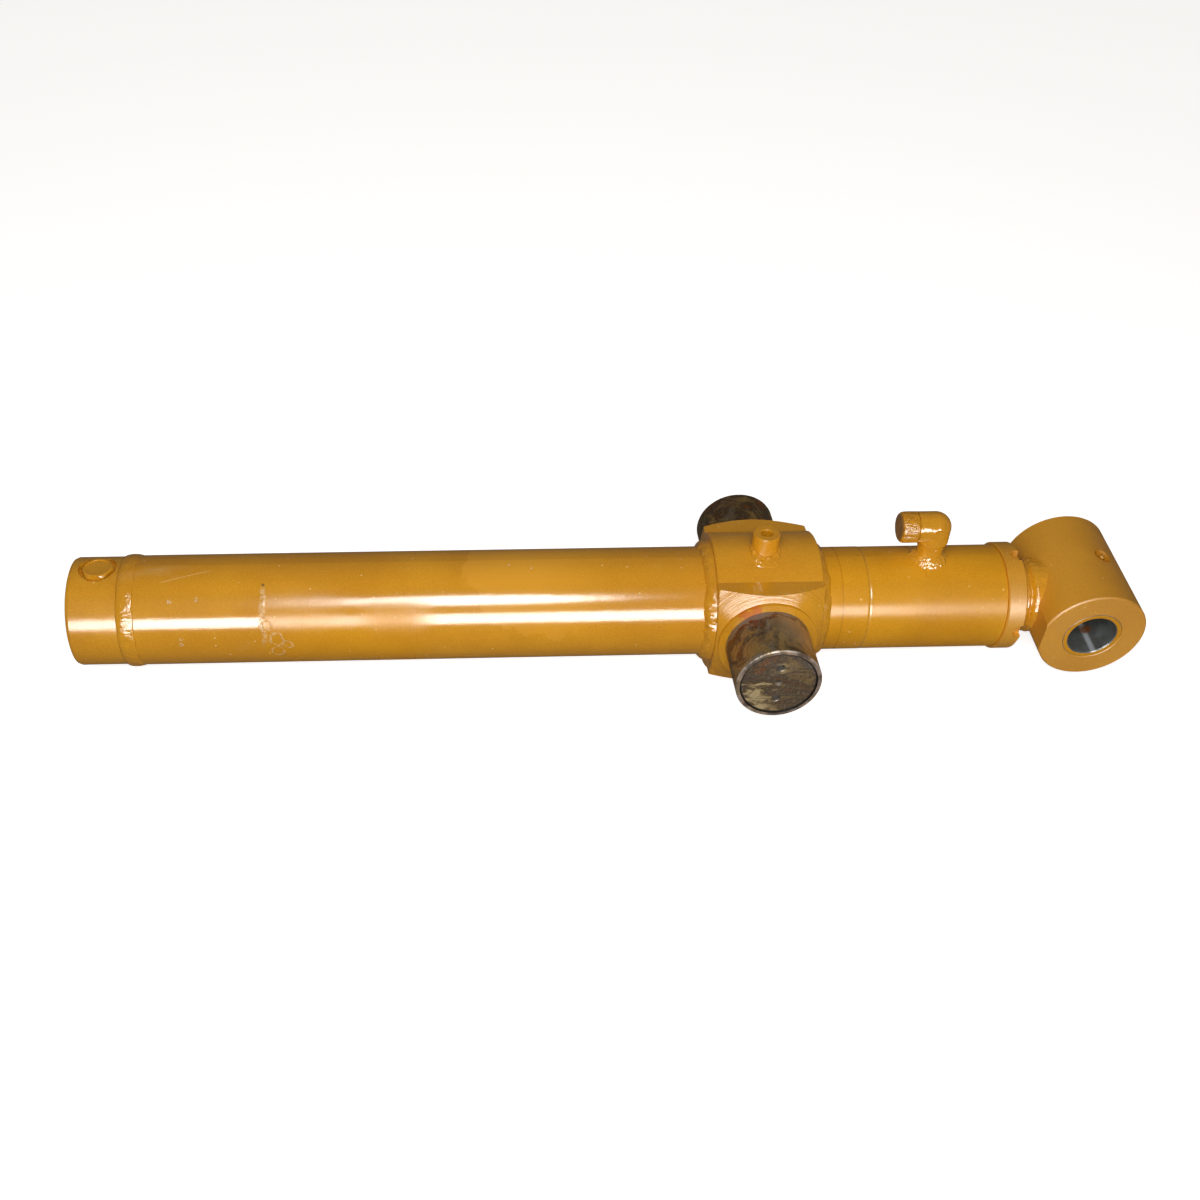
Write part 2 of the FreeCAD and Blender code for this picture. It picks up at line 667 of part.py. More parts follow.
def gland_backup_ring():
    floor_r = SEAL_BORE_D / 2 - RUN_GAP - STATIC_GROOVE_DEPTH
    x1 = STATIC_GROOVE_X + STATIC_GROOVE_W - SIDE_GAP
    return ring_x(floor_r + STATIC_GROOVE_DEPTH - 0.05, floor_r + 0.02, x1 - BACKUP_W, x1)


# Piston and its rings. The rings slide in the bore, and the piston may turn inside them.

def piston():
    r = PISTON_D / 2
    edge = 2.0
    body = turn_x([
        (PISTON_REAR_X, SPIGOT_D / 2 + 0.02),
        (PISTON_REAR_X, r - edge),
        (PISTON_REAR_X + edge, r),
        (PISTON_FRONT_X - edge, r),
        (PISTON_FRONT_X, r - edge),
        (PISTON_FRONT_X, SPIGOT_D / 2 + 0.02),
    ])
    wear_floor = BORE_D / 2 - RUN_GAP - WEAR_RING_T - RUN_GAP
    for x0 in WEAR_GROOVES_X:
        body = body.cut(ring_x(r + 1, wear_floor, x0, x0 + WEAR_GROOVE_W))
    seal_floor = BORE_D / 2 - RUN_GAP - SEAL_T - RUN_GAP
    seal_end = SEAL_GROOVE_X + SEAL_W + 2 * SIDE_GAP
    body = body.cut(ring_x(r + 1, seal_floor, SEAL_GROOVE_X, seal_end))
    groove_x = PISTON_O_RING_X - PISTON_O_GROOVE_W / 2
    groove_r = SPIGOT_D / 2 + PISTON_O_RING + 0.1
    return body.cut(ring_x(groove_r, SPIGOT_D / 2 - 1, groove_x, groove_x + PISTON_O_GROOVE_W))


def piston_wear_ring(x0):
    outer = BORE_D / 2 - RUN_GAP
    start = x0 + SIDE_GAP
    ring = ring_x(outer, outer - WEAR_RING_T, start, start + WEAR_RING_W)
    gap_corner = V(start - 1, -WEAR_RING_CUT / 2, 0)
    gap = Part.makeBox(WEAR_RING_W + 2, WEAR_RING_CUT, 2 * outer, gap_corner)
    return ring.cut(gap)


def piston_seal():
    """Slipper ring on the outside of the seal groove."""
    outer = BORE_D / 2 - RUN_GAP
    start = SEAL_GROOVE_X + SIDE_GAP
    return ring_x(outer, outer - SEAL_T * SLIPPER_SHARE, start, start + SEAL_W)


def piston_seal_expander():
    """Rubber ring that presses the slipper ring outwards."""
    outer = BORE_D / 2 - RUN_GAP - SEAL_T * SLIPPER_SHARE - RUN_GAP
    inner = BORE_D / 2 - RUN_GAP - SEAL_T
    start = SEAL_GROOVE_X + SIDE_GAP + 1.5
    return ring_x(outer, inner, start, start + SEAL_W - 3)


def piston_o_ring():
    return o_ring_x(SPIGOT_D / 2 + RUN_GAP, PISTON_O_RING, PISTON_O_RING_X)


def rod():
    r = ROD_D / 2
    spigot_r = SPIGOT_D / 2
    bevel = 6.0
    return turn_x([
        (ROD_TAIL_X, 0),
        (ROD_TAIL_X, spigot_r - 2),
        (ROD_TAIL_X + 2, spigot_r),
        (PISTON_FRONT_X, spigot_r),
        (PISTON_FRONT_X, r - 1.5),
        (PISTON_FRONT_X + 3, r),
        (EYE_FLAT_X - bevel, r),
        (EYE_FLAT_X, r - bevel),
        (EYE_FLAT_X, 0),
    ])


def piston_nut():
    start = V(PISTON_REAR_X - NUT_L, 0, 0)
    nut = hex_prism(NUT_AF, start, AXIS_X, NUT_L)
    corner = NUT_AF / math.sqrt(3)
    edge = corner - NUT_AF / 2 * 0.98
    nut = nut.common(turn_x([
        (start.x, 0),
        (start.x, corner - edge),
        (start.x + edge * 0.58, corner),
        (PISTON_REAR_X, corner),
        (PISTON_REAR_X, 0),
    ]))
    return nut.cut(cyl_x(SPIGOT_D / 2 + 0.1, start.x - 1, PISTON_REAR_X + 1))


# Rod eye: a cross tube with a flat where the rod is welded on, a bushing and a grease fitting

def grease_frame(depth):
    """A point on the grease passage, this far below the eye's surface, and the way out."""
    lean = math.radians(GREASE_ANGLE)
    out = V(math.sin(lean), 0, math.cos(lean))
    centre = V(EYE_X, GREASE_Y, 0)
    return centre + out * (EYE_D / 2 - depth), out


def turn_y(profile, x):
    face = closed_face([V(x, y, r) for r, y in profile])
    return face.revolve(V(x, 0, 0), AXIS_Y, 360)


def rod_eye():
    r = EYE_D / 2
    half = EYE_L / 2
    edge = 1.6
    hole_r = BUSH_D / 2
    body = turn_y([
        (hole_r, -half + 0.8),
        (hole_r + 0.8, -half),
        (r - edge, -half),
        (r, -half + edge),
        (r, half - edge),
        (r - edge, half),
        (hole_r + 0.8, half),
        (hole_r, half - 0.8),
    ], EYE_X)
    body = body.cut(Part.makeBox(60, 2 * EYE_L, 2 * EYE_D, V(EYE_FLAT_X - 60, -EYE_L, -EYE_D)))
    floor, out = grease_frame(GREASE_SINK_DEPTH)
    body = body.cut(cyl(GREASE_SINK_D / 2, floor, out, EYE_D))
    return body.cut(cyl(GREASE_THREAD_D / 2 + 0.05, floor - out * EYE_D / 2, out, EYE_D))


def eye_bushing():
    outer = BUSH_D / 2
    inner = PIN_BORE_D / 2
    half = EYE_L / 2 - BUSH_RECESS
    c = BUSH_CHAMFER
    groove = 2.0
    body = turn_y([
        (inner, -half + c),
        (inner + c, -half),
        (outer - 0.8, -half),
        (outer, -half + 0.8),
        (outer, half - 0.8),
        (outer - 0.8, half),
        (inner + c, half),
        (inner, half - c),
        (inner, GREASE_Y + groove),
        (inner + groove / 2, GREASE_Y + groove / 2),
        (inner + groove / 2, GREASE_Y - groove / 2),
        (inner, GREASE_Y - groove),
    ], EYE_X)
    floor, out = grease_frame(GREASE_SINK_DEPTH)
    return body.cut(cyl(GREASE_HOLE_D / 2, floor - out * EYE_D / 4, out, EYE_D / 4))


def rod_eye_weld():
    """Two rings of weld that build up from the rod to the eye."""
    low_r, high_r = EYE_WELD_R
    rod_r = ROD_D / 2
    sunk_r = rod_r - EYE_WELD_SINK
    start = V(EYE_WELD_START_X, 0, rod_r)
    valley = V(EYE_WELD_VALLEY_X, 0, low_r - 1.2)
    end = V(EYE_WELD_END_X, 0, low_r)
    first = Part.Arc(start, V(EYE_WELD_FIRST_X, 0, low_r - 0.6), valley)
    second = Part.Arc(valley, V(EYE_WELD_SECOND_X, 0, high_r), end)
    sunk = [V(EYE_WELD_END_X, 0, sunk_r), V(EYE_WELD_START_X, 0, sunk_r)]
    path = Part.makePolygon([end] + sunk + [start])
    face = Part.Face(Part.Wire([first.toShape(), second.toShape()] + path.Edges))
    weld = face.revolve(ORIGIN, AXIS_X, 360)
    return weld.cut(rod()).cut(rod_eye())


def grease_fitting():
    floor, out = grease_frame(GREASE_SINK_DEPTH)
    shank = cyl(GREASE_THREAD_D / 2, floor - out * 6, out, 6.5)
    hexagon = hex_prism(GREASE_HEX_AF, floor, out, GREASE_HEX_H)
    neck = cyl(GREASE_NECK_R, floor, out, GREASE_HEAD_H)
    cone = Part.makeCone(GREASE_HEX_AF / 2 - 0.5, GREASE_NECK_R, 1.8, floor + out * GREASE_HEX_H, out)
    head = Part.makeSphere(GREASE_HEAD_R, floor + out * GREASE_HEAD_H)
    head = head.common(cyl(2 * GREASE_HEAD_R, floor + out * 5, out, 6.2))
    fitting = shank.fuse(hexagon).fuse(neck).fuse(cone).fuse(head)
    drill = cyl(GREASE_BALL_R - 0.3, floor - out * 7, out, 30)
    mouth = cyl(GREASE_BALL_R + 0.1, floor + out * (GREASE_HEAD_H - 0.6), out, 4)
    return fitting.cut(drill).cut(mouth).removeSplitter()


def grease_fitting_ball():
    floor, out = grease_frame(GREASE_SINK_DEPTH)
    return Part.makeSphere(GREASE_BALL_R, floor + out * (GREASE_HEAD_H + 1.0))


BARREL = {
    "barrel_tube": barrel_tube,
    "base_cap": base_cap,
    "base_weld": base_weld,
    "base_port_plug": base_port_plug,
    "plug_o_ring": plug_o_ring,
    "trunnion_body": trunnion_body,
    "trunnion_weld_rear": trunnion_weld_rear,
    "trunnion_weld_front": trunnion_weld_front,
    "clamp_boss": clamp_boss,
    "clamp_boss_weld": clamp_boss_weld,
    "port_elbow": port_elbow,
    "elbow_weld": elbow_weld,
    "elbow_cap": elbow_cap,
    "gland": gland,
    "gland_o_ring": gland_o_ring,
    "gland_backup_ring": gland_backup_ring,
    "wiper": wiper,
    "piston_seal": piston_seal,
    "piston_seal_expander": piston_seal_expander,
}
ROD = {
    "rod": rod,
    "piston": piston,
    "piston_o_ring": piston_o_ring,
    "piston_nut": piston_nut,
    "rod_eye": rod_eye,
    "rod_eye_weld": rod_eye_weld,
    "eye_bushing": eye_bushing,
    "grease_fitting": grease_fitting,
    "grease_fitting_ball": grease_fitting_ball,
}

for node, make in BARREL.items():
    save(node, make())

for node, make in ROD.items():
    save(node, turned(make()))

save("trunnion_sleeve_left", trunnion_sleeve())
save("trunnion_sleeve_right", mirror_y(trunnion_sleeve()))

for node in ("rod_wear_ring_inner", "rod_wear_ring_outer", "buffer_seal", "rod_seal"):
    save(node, rod_ring(node))

for node, groove_x in zip(("piston_wear_ring_rear", "piston_wear_ring_front"), WEAR_GROOVES_X):
    save(node, piston_wear_ring(groove_x))
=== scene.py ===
import math

import bmesh
import bpy
from mathutils import Matrix, Vector, noise


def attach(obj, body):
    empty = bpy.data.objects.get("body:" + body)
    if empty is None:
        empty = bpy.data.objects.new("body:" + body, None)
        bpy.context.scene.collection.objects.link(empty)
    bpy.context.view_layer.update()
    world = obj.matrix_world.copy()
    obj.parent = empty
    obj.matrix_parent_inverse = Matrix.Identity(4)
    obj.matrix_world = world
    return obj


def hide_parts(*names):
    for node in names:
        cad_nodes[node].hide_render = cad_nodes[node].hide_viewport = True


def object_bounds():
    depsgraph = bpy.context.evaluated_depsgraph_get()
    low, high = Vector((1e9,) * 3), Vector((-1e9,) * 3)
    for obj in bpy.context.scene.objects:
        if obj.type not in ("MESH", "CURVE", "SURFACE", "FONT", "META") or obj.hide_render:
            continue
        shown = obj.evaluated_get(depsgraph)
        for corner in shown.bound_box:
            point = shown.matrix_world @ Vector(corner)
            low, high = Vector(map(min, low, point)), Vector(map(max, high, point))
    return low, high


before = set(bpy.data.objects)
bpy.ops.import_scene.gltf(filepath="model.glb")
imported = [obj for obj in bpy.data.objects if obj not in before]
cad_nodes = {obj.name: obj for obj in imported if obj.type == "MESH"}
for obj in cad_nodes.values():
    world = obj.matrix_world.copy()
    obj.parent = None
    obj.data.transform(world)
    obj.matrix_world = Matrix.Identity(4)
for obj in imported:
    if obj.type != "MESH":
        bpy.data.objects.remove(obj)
cad_low, cad_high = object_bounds()

# Hydraulic cylinder with a trunnion mount. X is its axis, Y the trunnion's axis, Z is up. Metres.

MM = 0.001


def mm(*values):
    """A place given in millimetres."""
    return Vector([v * MM for v in values])


# Sizes and places of the part that the materials and the mesh pieces follow, in millimetres

JOINT_X = -759.4            # middle of the weld between cap and tube
CAP_R = 65.65
TUBE_R = 66.675
TURNED_R = 63.5             # the tube in front of the trunnion
BLOCK_REAR_X = -61.2
BLOCK_FRONT_X = 65.3
CROWN_R = 83.8              # the block's round top
COLLAR_Y = -86.6            # face of the front collar
ELBOW_X = 204.0
ELBOW_CAP_X = 160.0         # closed end of the push-on cap
ELBOW_CAP_Z = 105.8
BOSS_Y = -8.0
ROD_R = 34.9
EYE_X = 398.8
EYE_LEAN = math.radians(4.8)
EYE_AXIS = (0, math.cos(EYE_LEAN), math.sin(EYE_LEAN))
TAPE_X = -598.0             # the torn edge of the tape
FINE_LINE_X = 93.1          # a line turned in front of the block
RING_X = 125.9              # the short cone where the finishing cut starts


# Camera

CAMERA_PLACE = mm(-356.7, -1302.7, 1038.3)
CAMERA_AZIMUTH = -2.679
CAMERA_ELEVATION = 39.810
CAMERA_ROLL = 0.660
CAMERA_LENS = 40.56
CAMERA_SHIFT = (0.0697, 0.0280)


def view_axes(azimuth, elevation, roll):
    """Rotation of a camera that looks back from this direction. The angles are in degrees."""
    a, e, r = (math.radians(v) for v in (azimuth, elevation, roll))
    back = Vector((math.sin(a) * math.cos(e), -math.cos(a) * math.cos(e), math.sin(e)))
    right = Vector((math.cos(a), math.sin(a), 0))
    up = back.cross(right)
    side = right * math.cos(r) + up * math.sin(r)
    top = up * math.cos(r) - right * math.sin(r)
    return Matrix((side, top, back)).transposed()


def add_camera():
    data = bpy.data.cameras.new("camera")
    data.lens = CAMERA_LENS
    data.sensor_width = 36.0
    data.shift_x, data.shift_y = CAMERA_SHIFT
    camera = bpy.data.objects.new("camera", data)
    bpy.context.scene.collection.objects.link(camera)
    axes = view_axes(CAMERA_AZIMUTH, CAMERA_ELEVATION, CAMERA_ROLL)
    camera.matrix_world = Matrix.Translation(CAMERA_PLACE) @ axes.to_4x4()
    bpy.context.scene.camera = camera


# Studio: two soft boxes that show in the paint, fills that only light it, a floor and a backdrop

ROOM_TINT = (1.0, 0.87, 0.66, 1)
ROOM_LIGHT = 0.12
FLOOR_HALF = 14.0
BACKDROP_RADIUS = 13.0


def add_softbox(name, place, target, width, height, power, lights="both", shape="RECTANGLE"):
    """An area lamp. lights is "both", "diffuse" or "glossy": what it adds to a surface."""
    data = bpy.data.lights.new(name, "AREA")
    data.shape = shape
    data.size = width
    data.size_y = height
    data.energy = power
    lamp = bpy.data.objects.new(name, data)
    bpy.context.scene.collection.objects.link(lamp)
    lamp.location = place
    lamp.visible_glossy = lights != "diffuse"
    lamp.visible_diffuse = lights != "glossy"
    lamp.rotation_euler = (Vector(target) - Vector(place)).to_track_quat("-Z", "Y").to_euler()


def add_studio():
    scene = bpy.context.scene
    scene.view_settings.view_transform = "Standard"
    world = bpy.data.worlds.new("studio")
    world.use_nodes = True
    background = world.node_tree.nodes["Background"]
    background.inputs["Color"].default_value = ROOM_TINT
    background.inputs["Strength"].default_value = ROOM_LIGHT
    scene.world = world
    middle = Vector((-0.30, 0, 0))
    low_place = (-0.15, -2.00, 0.30)
    low_target = middle + Vector((0.1, 0, 0))
    add_softbox("box_high", (-0.355, -1.15, 1.20), middle, 0.66, 0.56, 9, "both", "ELLIPSE")
    add_softbox("box_low", low_place, low_target, 2.8, 0.72, 54, "glossy")
    add_softbox("fill_low", low_place, low_target, 2.8, 0.50, 21, "diffuse")
    add_softbox("fill_front", (-0.30, -1.35, 1.25), middle, 1.7, 1.2, 14, "diffuse")
    add_softbox("box_back", (-0.2, 1.9, 2.6), middle, 2.6, 1.4, 3, "diffuse")


def add_floor():
    """A wide flat floor under the part."""
    mesh = bpy.data.meshes.new("floor")
    corners = [(-FLOOR_HALF, -FLOOR_HALF), (FLOOR_HALF, -FLOOR_HALF),
               (FLOOR_HALF, FLOOR_HALF), (-FLOOR_HALF, FLOOR_HALF)]
    z = cad_low.z - 0.0002
    mesh.from_pydata([(x, y, z) for x, y in corners], [], [(0, 1, 2, 3)])
    floor = bpy.data.objects.new("floor", mesh)
    bpy.context.scene.collection.objects.link(floor)
    shade = Shade("floor_paper")
    tint = shade.mix(shade.noise(2.0, 3), (0.86, 0.86, 0.86), (0.90, 0.90, 0.90))
    shade.set("Base Color", tint)
    shade.set("Roughness", 0.9)
    shade.set("Specular IOR Level", 0.1)
    shade.set("Emission Color", (1, 1, 1))
    shade.set("Emission Strength", 0.78)
    mesh.materials.append(shade.material)
    floor.visible_diffuse = False
    floor.visible_glossy = False


def add_backdrop():
    """A pale shell far round the floor. It is there to be looked at and gives no light."""
    mesh = bpy.data.meshes.new("backdrop")
    build = bmesh.new()
    bmesh.ops.create_uvsphere(build, u_segments=64, v_segments=32, radius=BACKDROP_RADIUS)
    build.to_mesh(mesh)
    build.free()
    backdrop = bpy.data.objects.new("backdrop", mesh)
    bpy.context.scene.collection.objects.link(backdrop)
    shade = Shade("backdrop_paper")
    tint = shade.mix(shade.noise(0.6, 3), (0.90, 0.90, 0.90), (0.94, 0.94, 0.94))
    shade.set("Base Color", (0, 0, 0))
    shade.set("Specular IOR Level", 0.0)
    shade.set("Emission Color", tint)
    shade.set("Emission Strength", 1.0)
    mesh.materials.append(shade.material)
    backdrop.visible_diffuse = False
    backdrop.visible_glossy = False
    backdrop.visible_shadow = False


# Materials

class Shade:
    """A node material with short calls for the nodes used here. Coordinates are in metres."""

    def __init__(self, name):
        self.material = bpy.data.materials.new(name)
        self.material.use_nodes = True
        self.tree = self.material.node_tree
        self.shader = self.tree.nodes["Principled BSDF"]
        self.place = self.add("ShaderNodeTexCoord").outputs["Object"]
        self.height = None

    def add(self, kind, **settings):
        node = self.tree.nodes.new(kind)
        for key, value in settings.items():
            setattr(node, key, value)
        return node

    def feed(self, socket, value):
        if isinstance(value, bpy.types.NodeSocket):
            self.tree.links.new(value, socket)
        elif isinstance(value, (tuple, list, Vector)) and len(socket.default_value) == 4:
            socket.default_value = (*value, 1) if len(value) == 3 else value
        else:
            socket.default_value = value

    def set(self, name, value):
        self.feed(self.shader.inputs[name], value)

    def math(self, operation, a, b=0.0):
        node = self.add("ShaderNodeMath", operation=operation)
        self.feed(node.inputs[0], a)
        self.feed(node.inputs[1], b)
        return node.outputs[0]

    def total(self, first, *others):
        for other in others:
            first = self.math("ADD", first, other)
        return first

    def times(self, first, *others):
        for other in others:
            first = self.math("MULTIPLY", first, other)
        return first

    def highest(self, first, *others):
        for other in others:
            first = self.math("MAXIMUM", first, other)
        return first

    def gap(self, value, place):
        """How far a value is from a place, on either side."""
        return self.math("ABSOLUTE", self.math("SUBTRACT", value, place))

    def swing(self, noise, width):
        """Noise moved to lie about zero, this wide in all."""
        return self.times(self.math("SUBTRACT", noise, 0.5), width)

    def step(self, value, low, high):
        """0 below low, 1 above high, smooth between them. It falls if low is above high."""
        node = self.add("ShaderNodeMapRange", interpolation_type="SMOOTHSTEP")
        rising = low <= high
        self.feed(node.inputs["Value"], value)
        node.inputs["From Min"].default_value = low if rising else high
        node.inputs["From Max"].default_value = high if rising else low
        node.inputs["To Min"].default_value = 0 if rising else 1
        node.inputs["To Max"].default_value = 1 if rising else 0
        return node.outputs["Result"]

    def range(self, value, low, high):
        """Takes 0 to 1 to low to high."""
        return self.math("ADD", self.times(value, high - low), low)

    def mix(self, factor, a, b):
        node = self.add("ShaderNodeMix", data_type="RGBA")
        self.feed(node.inputs["Factor"], factor)
        self.feed(node.inputs[6], a)
        self.feed(node.inputs[7], b)
        return node.outputs[2]

    def scaled(self, scale):
        node = self.add("ShaderNodeMapping")
        self.feed(node.inputs["Vector"], self.place)
        node.inputs["Scale"].default_value = scale
        return node.outputs[0]

    def shifted(self, offset):
        node = self.add("ShaderNodeMapping")
        self.feed(node.inputs["Vector"], self.place)
        node.inputs["Location"].default_value = offset
        return node.outputs[0]

    def noise(self, scale, detail=2.0, rough=0.5, vector=None, bend=0.0):
        node = self.add("ShaderNodeTexNoise")
        self.feed(node.inputs["Vector"], vector or self.place)
        node.inputs["Scale"].default_value = scale
        node.inputs["Detail"].default_value = detail
        node.inputs["Roughness"].default_value = rough
        node.inputs["Distortion"].default_value = bend
        return node.outputs["Fac"]

    def specks(self, scale, size, share):
        """Small round spots in a random share of the cells."""
        node = self.add("ShaderNodeTexVoronoi")
        self.feed(node.inputs["Vector"], self.place)
        node.inputs["Scale"].default_value = scale
        near = self.step(node.outputs["Distance"], size, size * 0.6)
        channel = self.add("ShaderNodeSeparateColor")
        self.feed(channel.inputs[0], node.outputs["Color"])
        return self.times(near, self.step(channel.outputs[0], share, share * 0.98))

    def axis(self, index):
        node = self.add("ShaderNodeSeparateXYZ")
        self.feed(node.inputs[0], self.place)
        return node.outputs[index]

    def along(self, direction):
        node = self.add("ShaderNodeVectorMath", operation="DOT_PRODUCT")
        self.feed(node.inputs[0], self.place)
        node.inputs[1].default_value = direction
        return node.outputs["Value"]

    def distance(self, point):
        node = self.add("ShaderNodeVectorMath", operation="DISTANCE")
        self.feed(node.inputs[0], self.place)
        node.inputs[1].default_value = point
        return node.outputs["Value"]

    def radius(self, index):
        """Distance from one coordinate axis."""
        keep = [1.0, 1.0, 1.0]
        keep[index] = 0.0
        flat = self.add("ShaderNodeVectorMath", operation="MULTIPLY")
        self.feed(flat.inputs[0], self.place)
        flat.inputs[1].default_value = keep
        size = self.add("ShaderNodeVectorMath", operation="LENGTH")
        self.feed(size.inputs[0], flat.outputs[0])
        return size.outputs["Value"]

    def line_noise(self, value, scale, detail=2.0):
        """Noise that changes only with one number, for turning marks."""
        node = self.add("ShaderNodeTexNoise", noise_dimensions="1D")
        self.feed(node.inputs["W"], value)
        node.inputs["Scale"].default_value = scale
        node.inputs["Detail"].default_value = detail
        return node.outputs["Fac"]

    def bump(self, height, depth, strength=1.0):
        """Adds relief to what is there already. depth is how deep height 1 is, in metres."""
        node = self.add("ShaderNodeBump")
        self.feed(node.inputs["Height"], height)
        self.feed(node.inputs["Strength"], strength)
        node.inputs["Distance"].default_value = depth
        if self.height is not None:
            self.feed(node.inputs["Normal"], self.height)
        self.height = node.outputs["Normal"]
        self.set("Normal", self.height)


PAINT_IOR = 2.05
YELLOW = (0.730, 0.330, 0.012)
YELLOW_DEEP = (0.640, 0.272, 0.008)
YELLOW_SHADE = (0.480, 0.185, 0.005)
YELLOW_PALE = (0.860, 0.450, 0.050)
STEEL = (0.40, 0.35, 0.28)
BROWN_STAIN = (0.105, 0.058, 0.020)
GOLD_STAIN = (0.44, 0.28, 0.095)
RUST = (0.62, 0.150, 0.010)
SEAM_SHADE = (0.008, 0.006, 0.005)  # painted shade in the gap between stub and sleeve


def paint_color(shade):
    """Golden enamel: slow changes of tone, fine grain, and a few dust nibs and dark pits."""
    tone = shade.noise(9.0, 3.0)
    color = shade.mix(shade.step(tone, 0.35, 0.70), YELLOW_DEEP, YELLOW)
    grain = shade.noise(560.0, 3.0, 0.8)
    color = shade.mix(shade.times(shade.step(grain, 0.50, 0.72), 0.50), color, YELLOW_PALE)
    color = shade.mix(shade.times(shade.step(grain, 0.50, 0.30), 0.42), color, YELLOW_SHADE)
    nibs = shade.specks(70.0, 0.095, 0.50)
    color = shade.mix(shade.times(nibs, 0.80), color, (0.98, 0.66, 0.22))
    pits = shade.specks(31.0, 0.026, 0.25)
    return shade.mix(shade.times(pits, 0.80), color, (0.13, 0.06, 0.02))


def paint_relief(shade, peel=0.00006):
    """Orange peel, slow waves and dust nibs."""
    shade.bump(shade.noise(520.0, 2.0, 0.6), peel * 1.4)
    shade.bump(shade.noise(60.0, 1.0), peel * 2.2)
    shade.bump(shade.specks(70.0, 0.095, 0.50), 0.00016)


def paint_wear(shade, color, rough):
    """Dull, pale worn patches drawn out along the cylinder."""
    streaks = shade.noise(22.0, 5.0, 0.65, shade.scaled((0.35, 1, 1)))
    rubbed_and_highlight = shade.step(streaks, 0.60, 0.78)
    color = shade.mix(shade.times(rubbed_and_highlight, 0.20), color, (0.80, 0.58, 0.28))
    rough = shade.total(rough, shade.times(rubbed_and_highlight, 0.14))
    return color, rough


def paint(name, peel=0.00006, gloss=0.17):
    """The plain golden paint. gloss is its roughness."""
    shade = Shade(name)
    color = paint_color(shade)
    rough = shade.range(shade.noise(14.0, 3.0), gloss - 0.04, gloss + 0.08)
    color, rough = paint_wear(shade, color, rough)
    shade.set("Base Color", color)
    shade.set("Roughness", rough)
    shade.set("IOR", PAINT_IOR)
    paint_relief(shade, peel)
    return shade


def tube_marks(shade, x, turn, color):
    """A long fine scratch, a nick, white chips, and specks of dust along the top."""
    scratch_at = shade.total(shade.times(x, 4.31), 2.69)
    across = shade.gap(turn, scratch_at)
    span = shade.times(shade.step(x, -0.720, -0.712), shade.step(x, -0.655, -0.668))
    scratch = shade.times(shade.step(across, 0.013, 0.005), span)
    color = shade.mix(shade.times(scratch, 0.50), color, (0.95, 0.62, 0.22))
    nick = shade.step(shade.distance(mm(TAPE_X + 1, -31, 59)), 0.0024, 0.0012)
    color = shade.mix(shade.times(nick, 0.8), color, (0.10, 0.05, 0.02))
    spots = (mm(-695, -66, 8), mm(-696, -66.5, -1), mm(-675, -44.6, 49.5), mm(-706, -46, 48))
    chips = shade.highest(*[shade.step(shade.distance(spot), 0.0038, 0.0018) for spot in spots])
    broken = shade.step(shade.noise(420.0, 3.0, 0.7), 0.48, 0.58)
    color = shade.mix(shade.times(chips, broken, 0.7), color, (0.86, 0.74, 0.55))
    dusty = shade.times(shade.step(x, -0.335, -0.325), shade.step(x, -0.085, -0.095))
    top = shade.times(dusty, shade.step(turn, -0.30, -0.18), shade.step(turn, 0.16, 0.04))
    dust = shade.times(shade.specks(110.0, 0.13, 0.35), top)
    return shade.mix(dust, color, (0.92, 0.88, 0.80))


def overspray(shade, x, color):
    """A second coat that ends in a cloudy edge near the top."""
    edge = shade.swing(shade.noise(24.0, 3.0, 0.5), 0.090)
    off = shade.total(shade.distance(mm(-272, 4, 66)), edge)
    coat = shade.times(shade.step(off, 0.095, 0.092), shade.step(x, -0.185, -0.270))
    return shade.mix(shade.times(coat, 0.55), color, (0.800, 0.370, 0.030))


def tape_residue(shade, x, turn):
    """Where a strip of tape was pulled off: a thin torn line, and curled scraps below it."""
    wander = shade.swing(shade.noise(60.0, 3.0), 0.010)
    off = shade.math("ABSOLUTE", shade.total(x, -TAPE_X * MM, wander))
    span = shade.times(shade.step(turn, -0.45, -0.60), shade.step(turn, -1.75, -1.40))
    line = shade.times(shade.step(off, 0.0040, 0.0012), span)
    bend = shade.swing(shade.noise(110.0, 3.0), 0.010)
    scraps = []
    for spot, size in ((mm(-583, -66, 4), 0.0085), (mm(-571, -66.5, -3), 0.0060),
                       (mm(-583, -65, -14), 0.0075), (mm(-594, -62, 23), 0.0055)):
        rim = shade.math("ABSOLUTE", shade.total(shade.distance(spot), bend, -size))
        scraps.append(shade.step(rim, 0.0015, 0.0005))
    crumbs = shade.step(shade.noise(300.0, 3.0, 0.7), 0.40, 0.52)
    return shade.times(shade.highest(line, *scraps), crumbs)


def dull_stretches(shade, x, turn):
    """Masks: the stretch beyond the tape, a dim gap after it, and the hazy lower side of both."""
    after_tape = shade.step(x, (TAPE_X - 2) * MM, (TAPE_X + 2) * MM)
    dull = shade.times(after_tape, shade.step(x, -0.480, -0.540))
    low_side = shade.step(turn, -0.72, -0.98)
    gap = shade.times(shade.step(x, -0.500, -0.455), shade.step(x, -0.385, -0.430), low_side)
    hazy = shade.times(after_tape, shade.step(x, -0.380, -0.440), low_side)
    return dull, gap, hazy


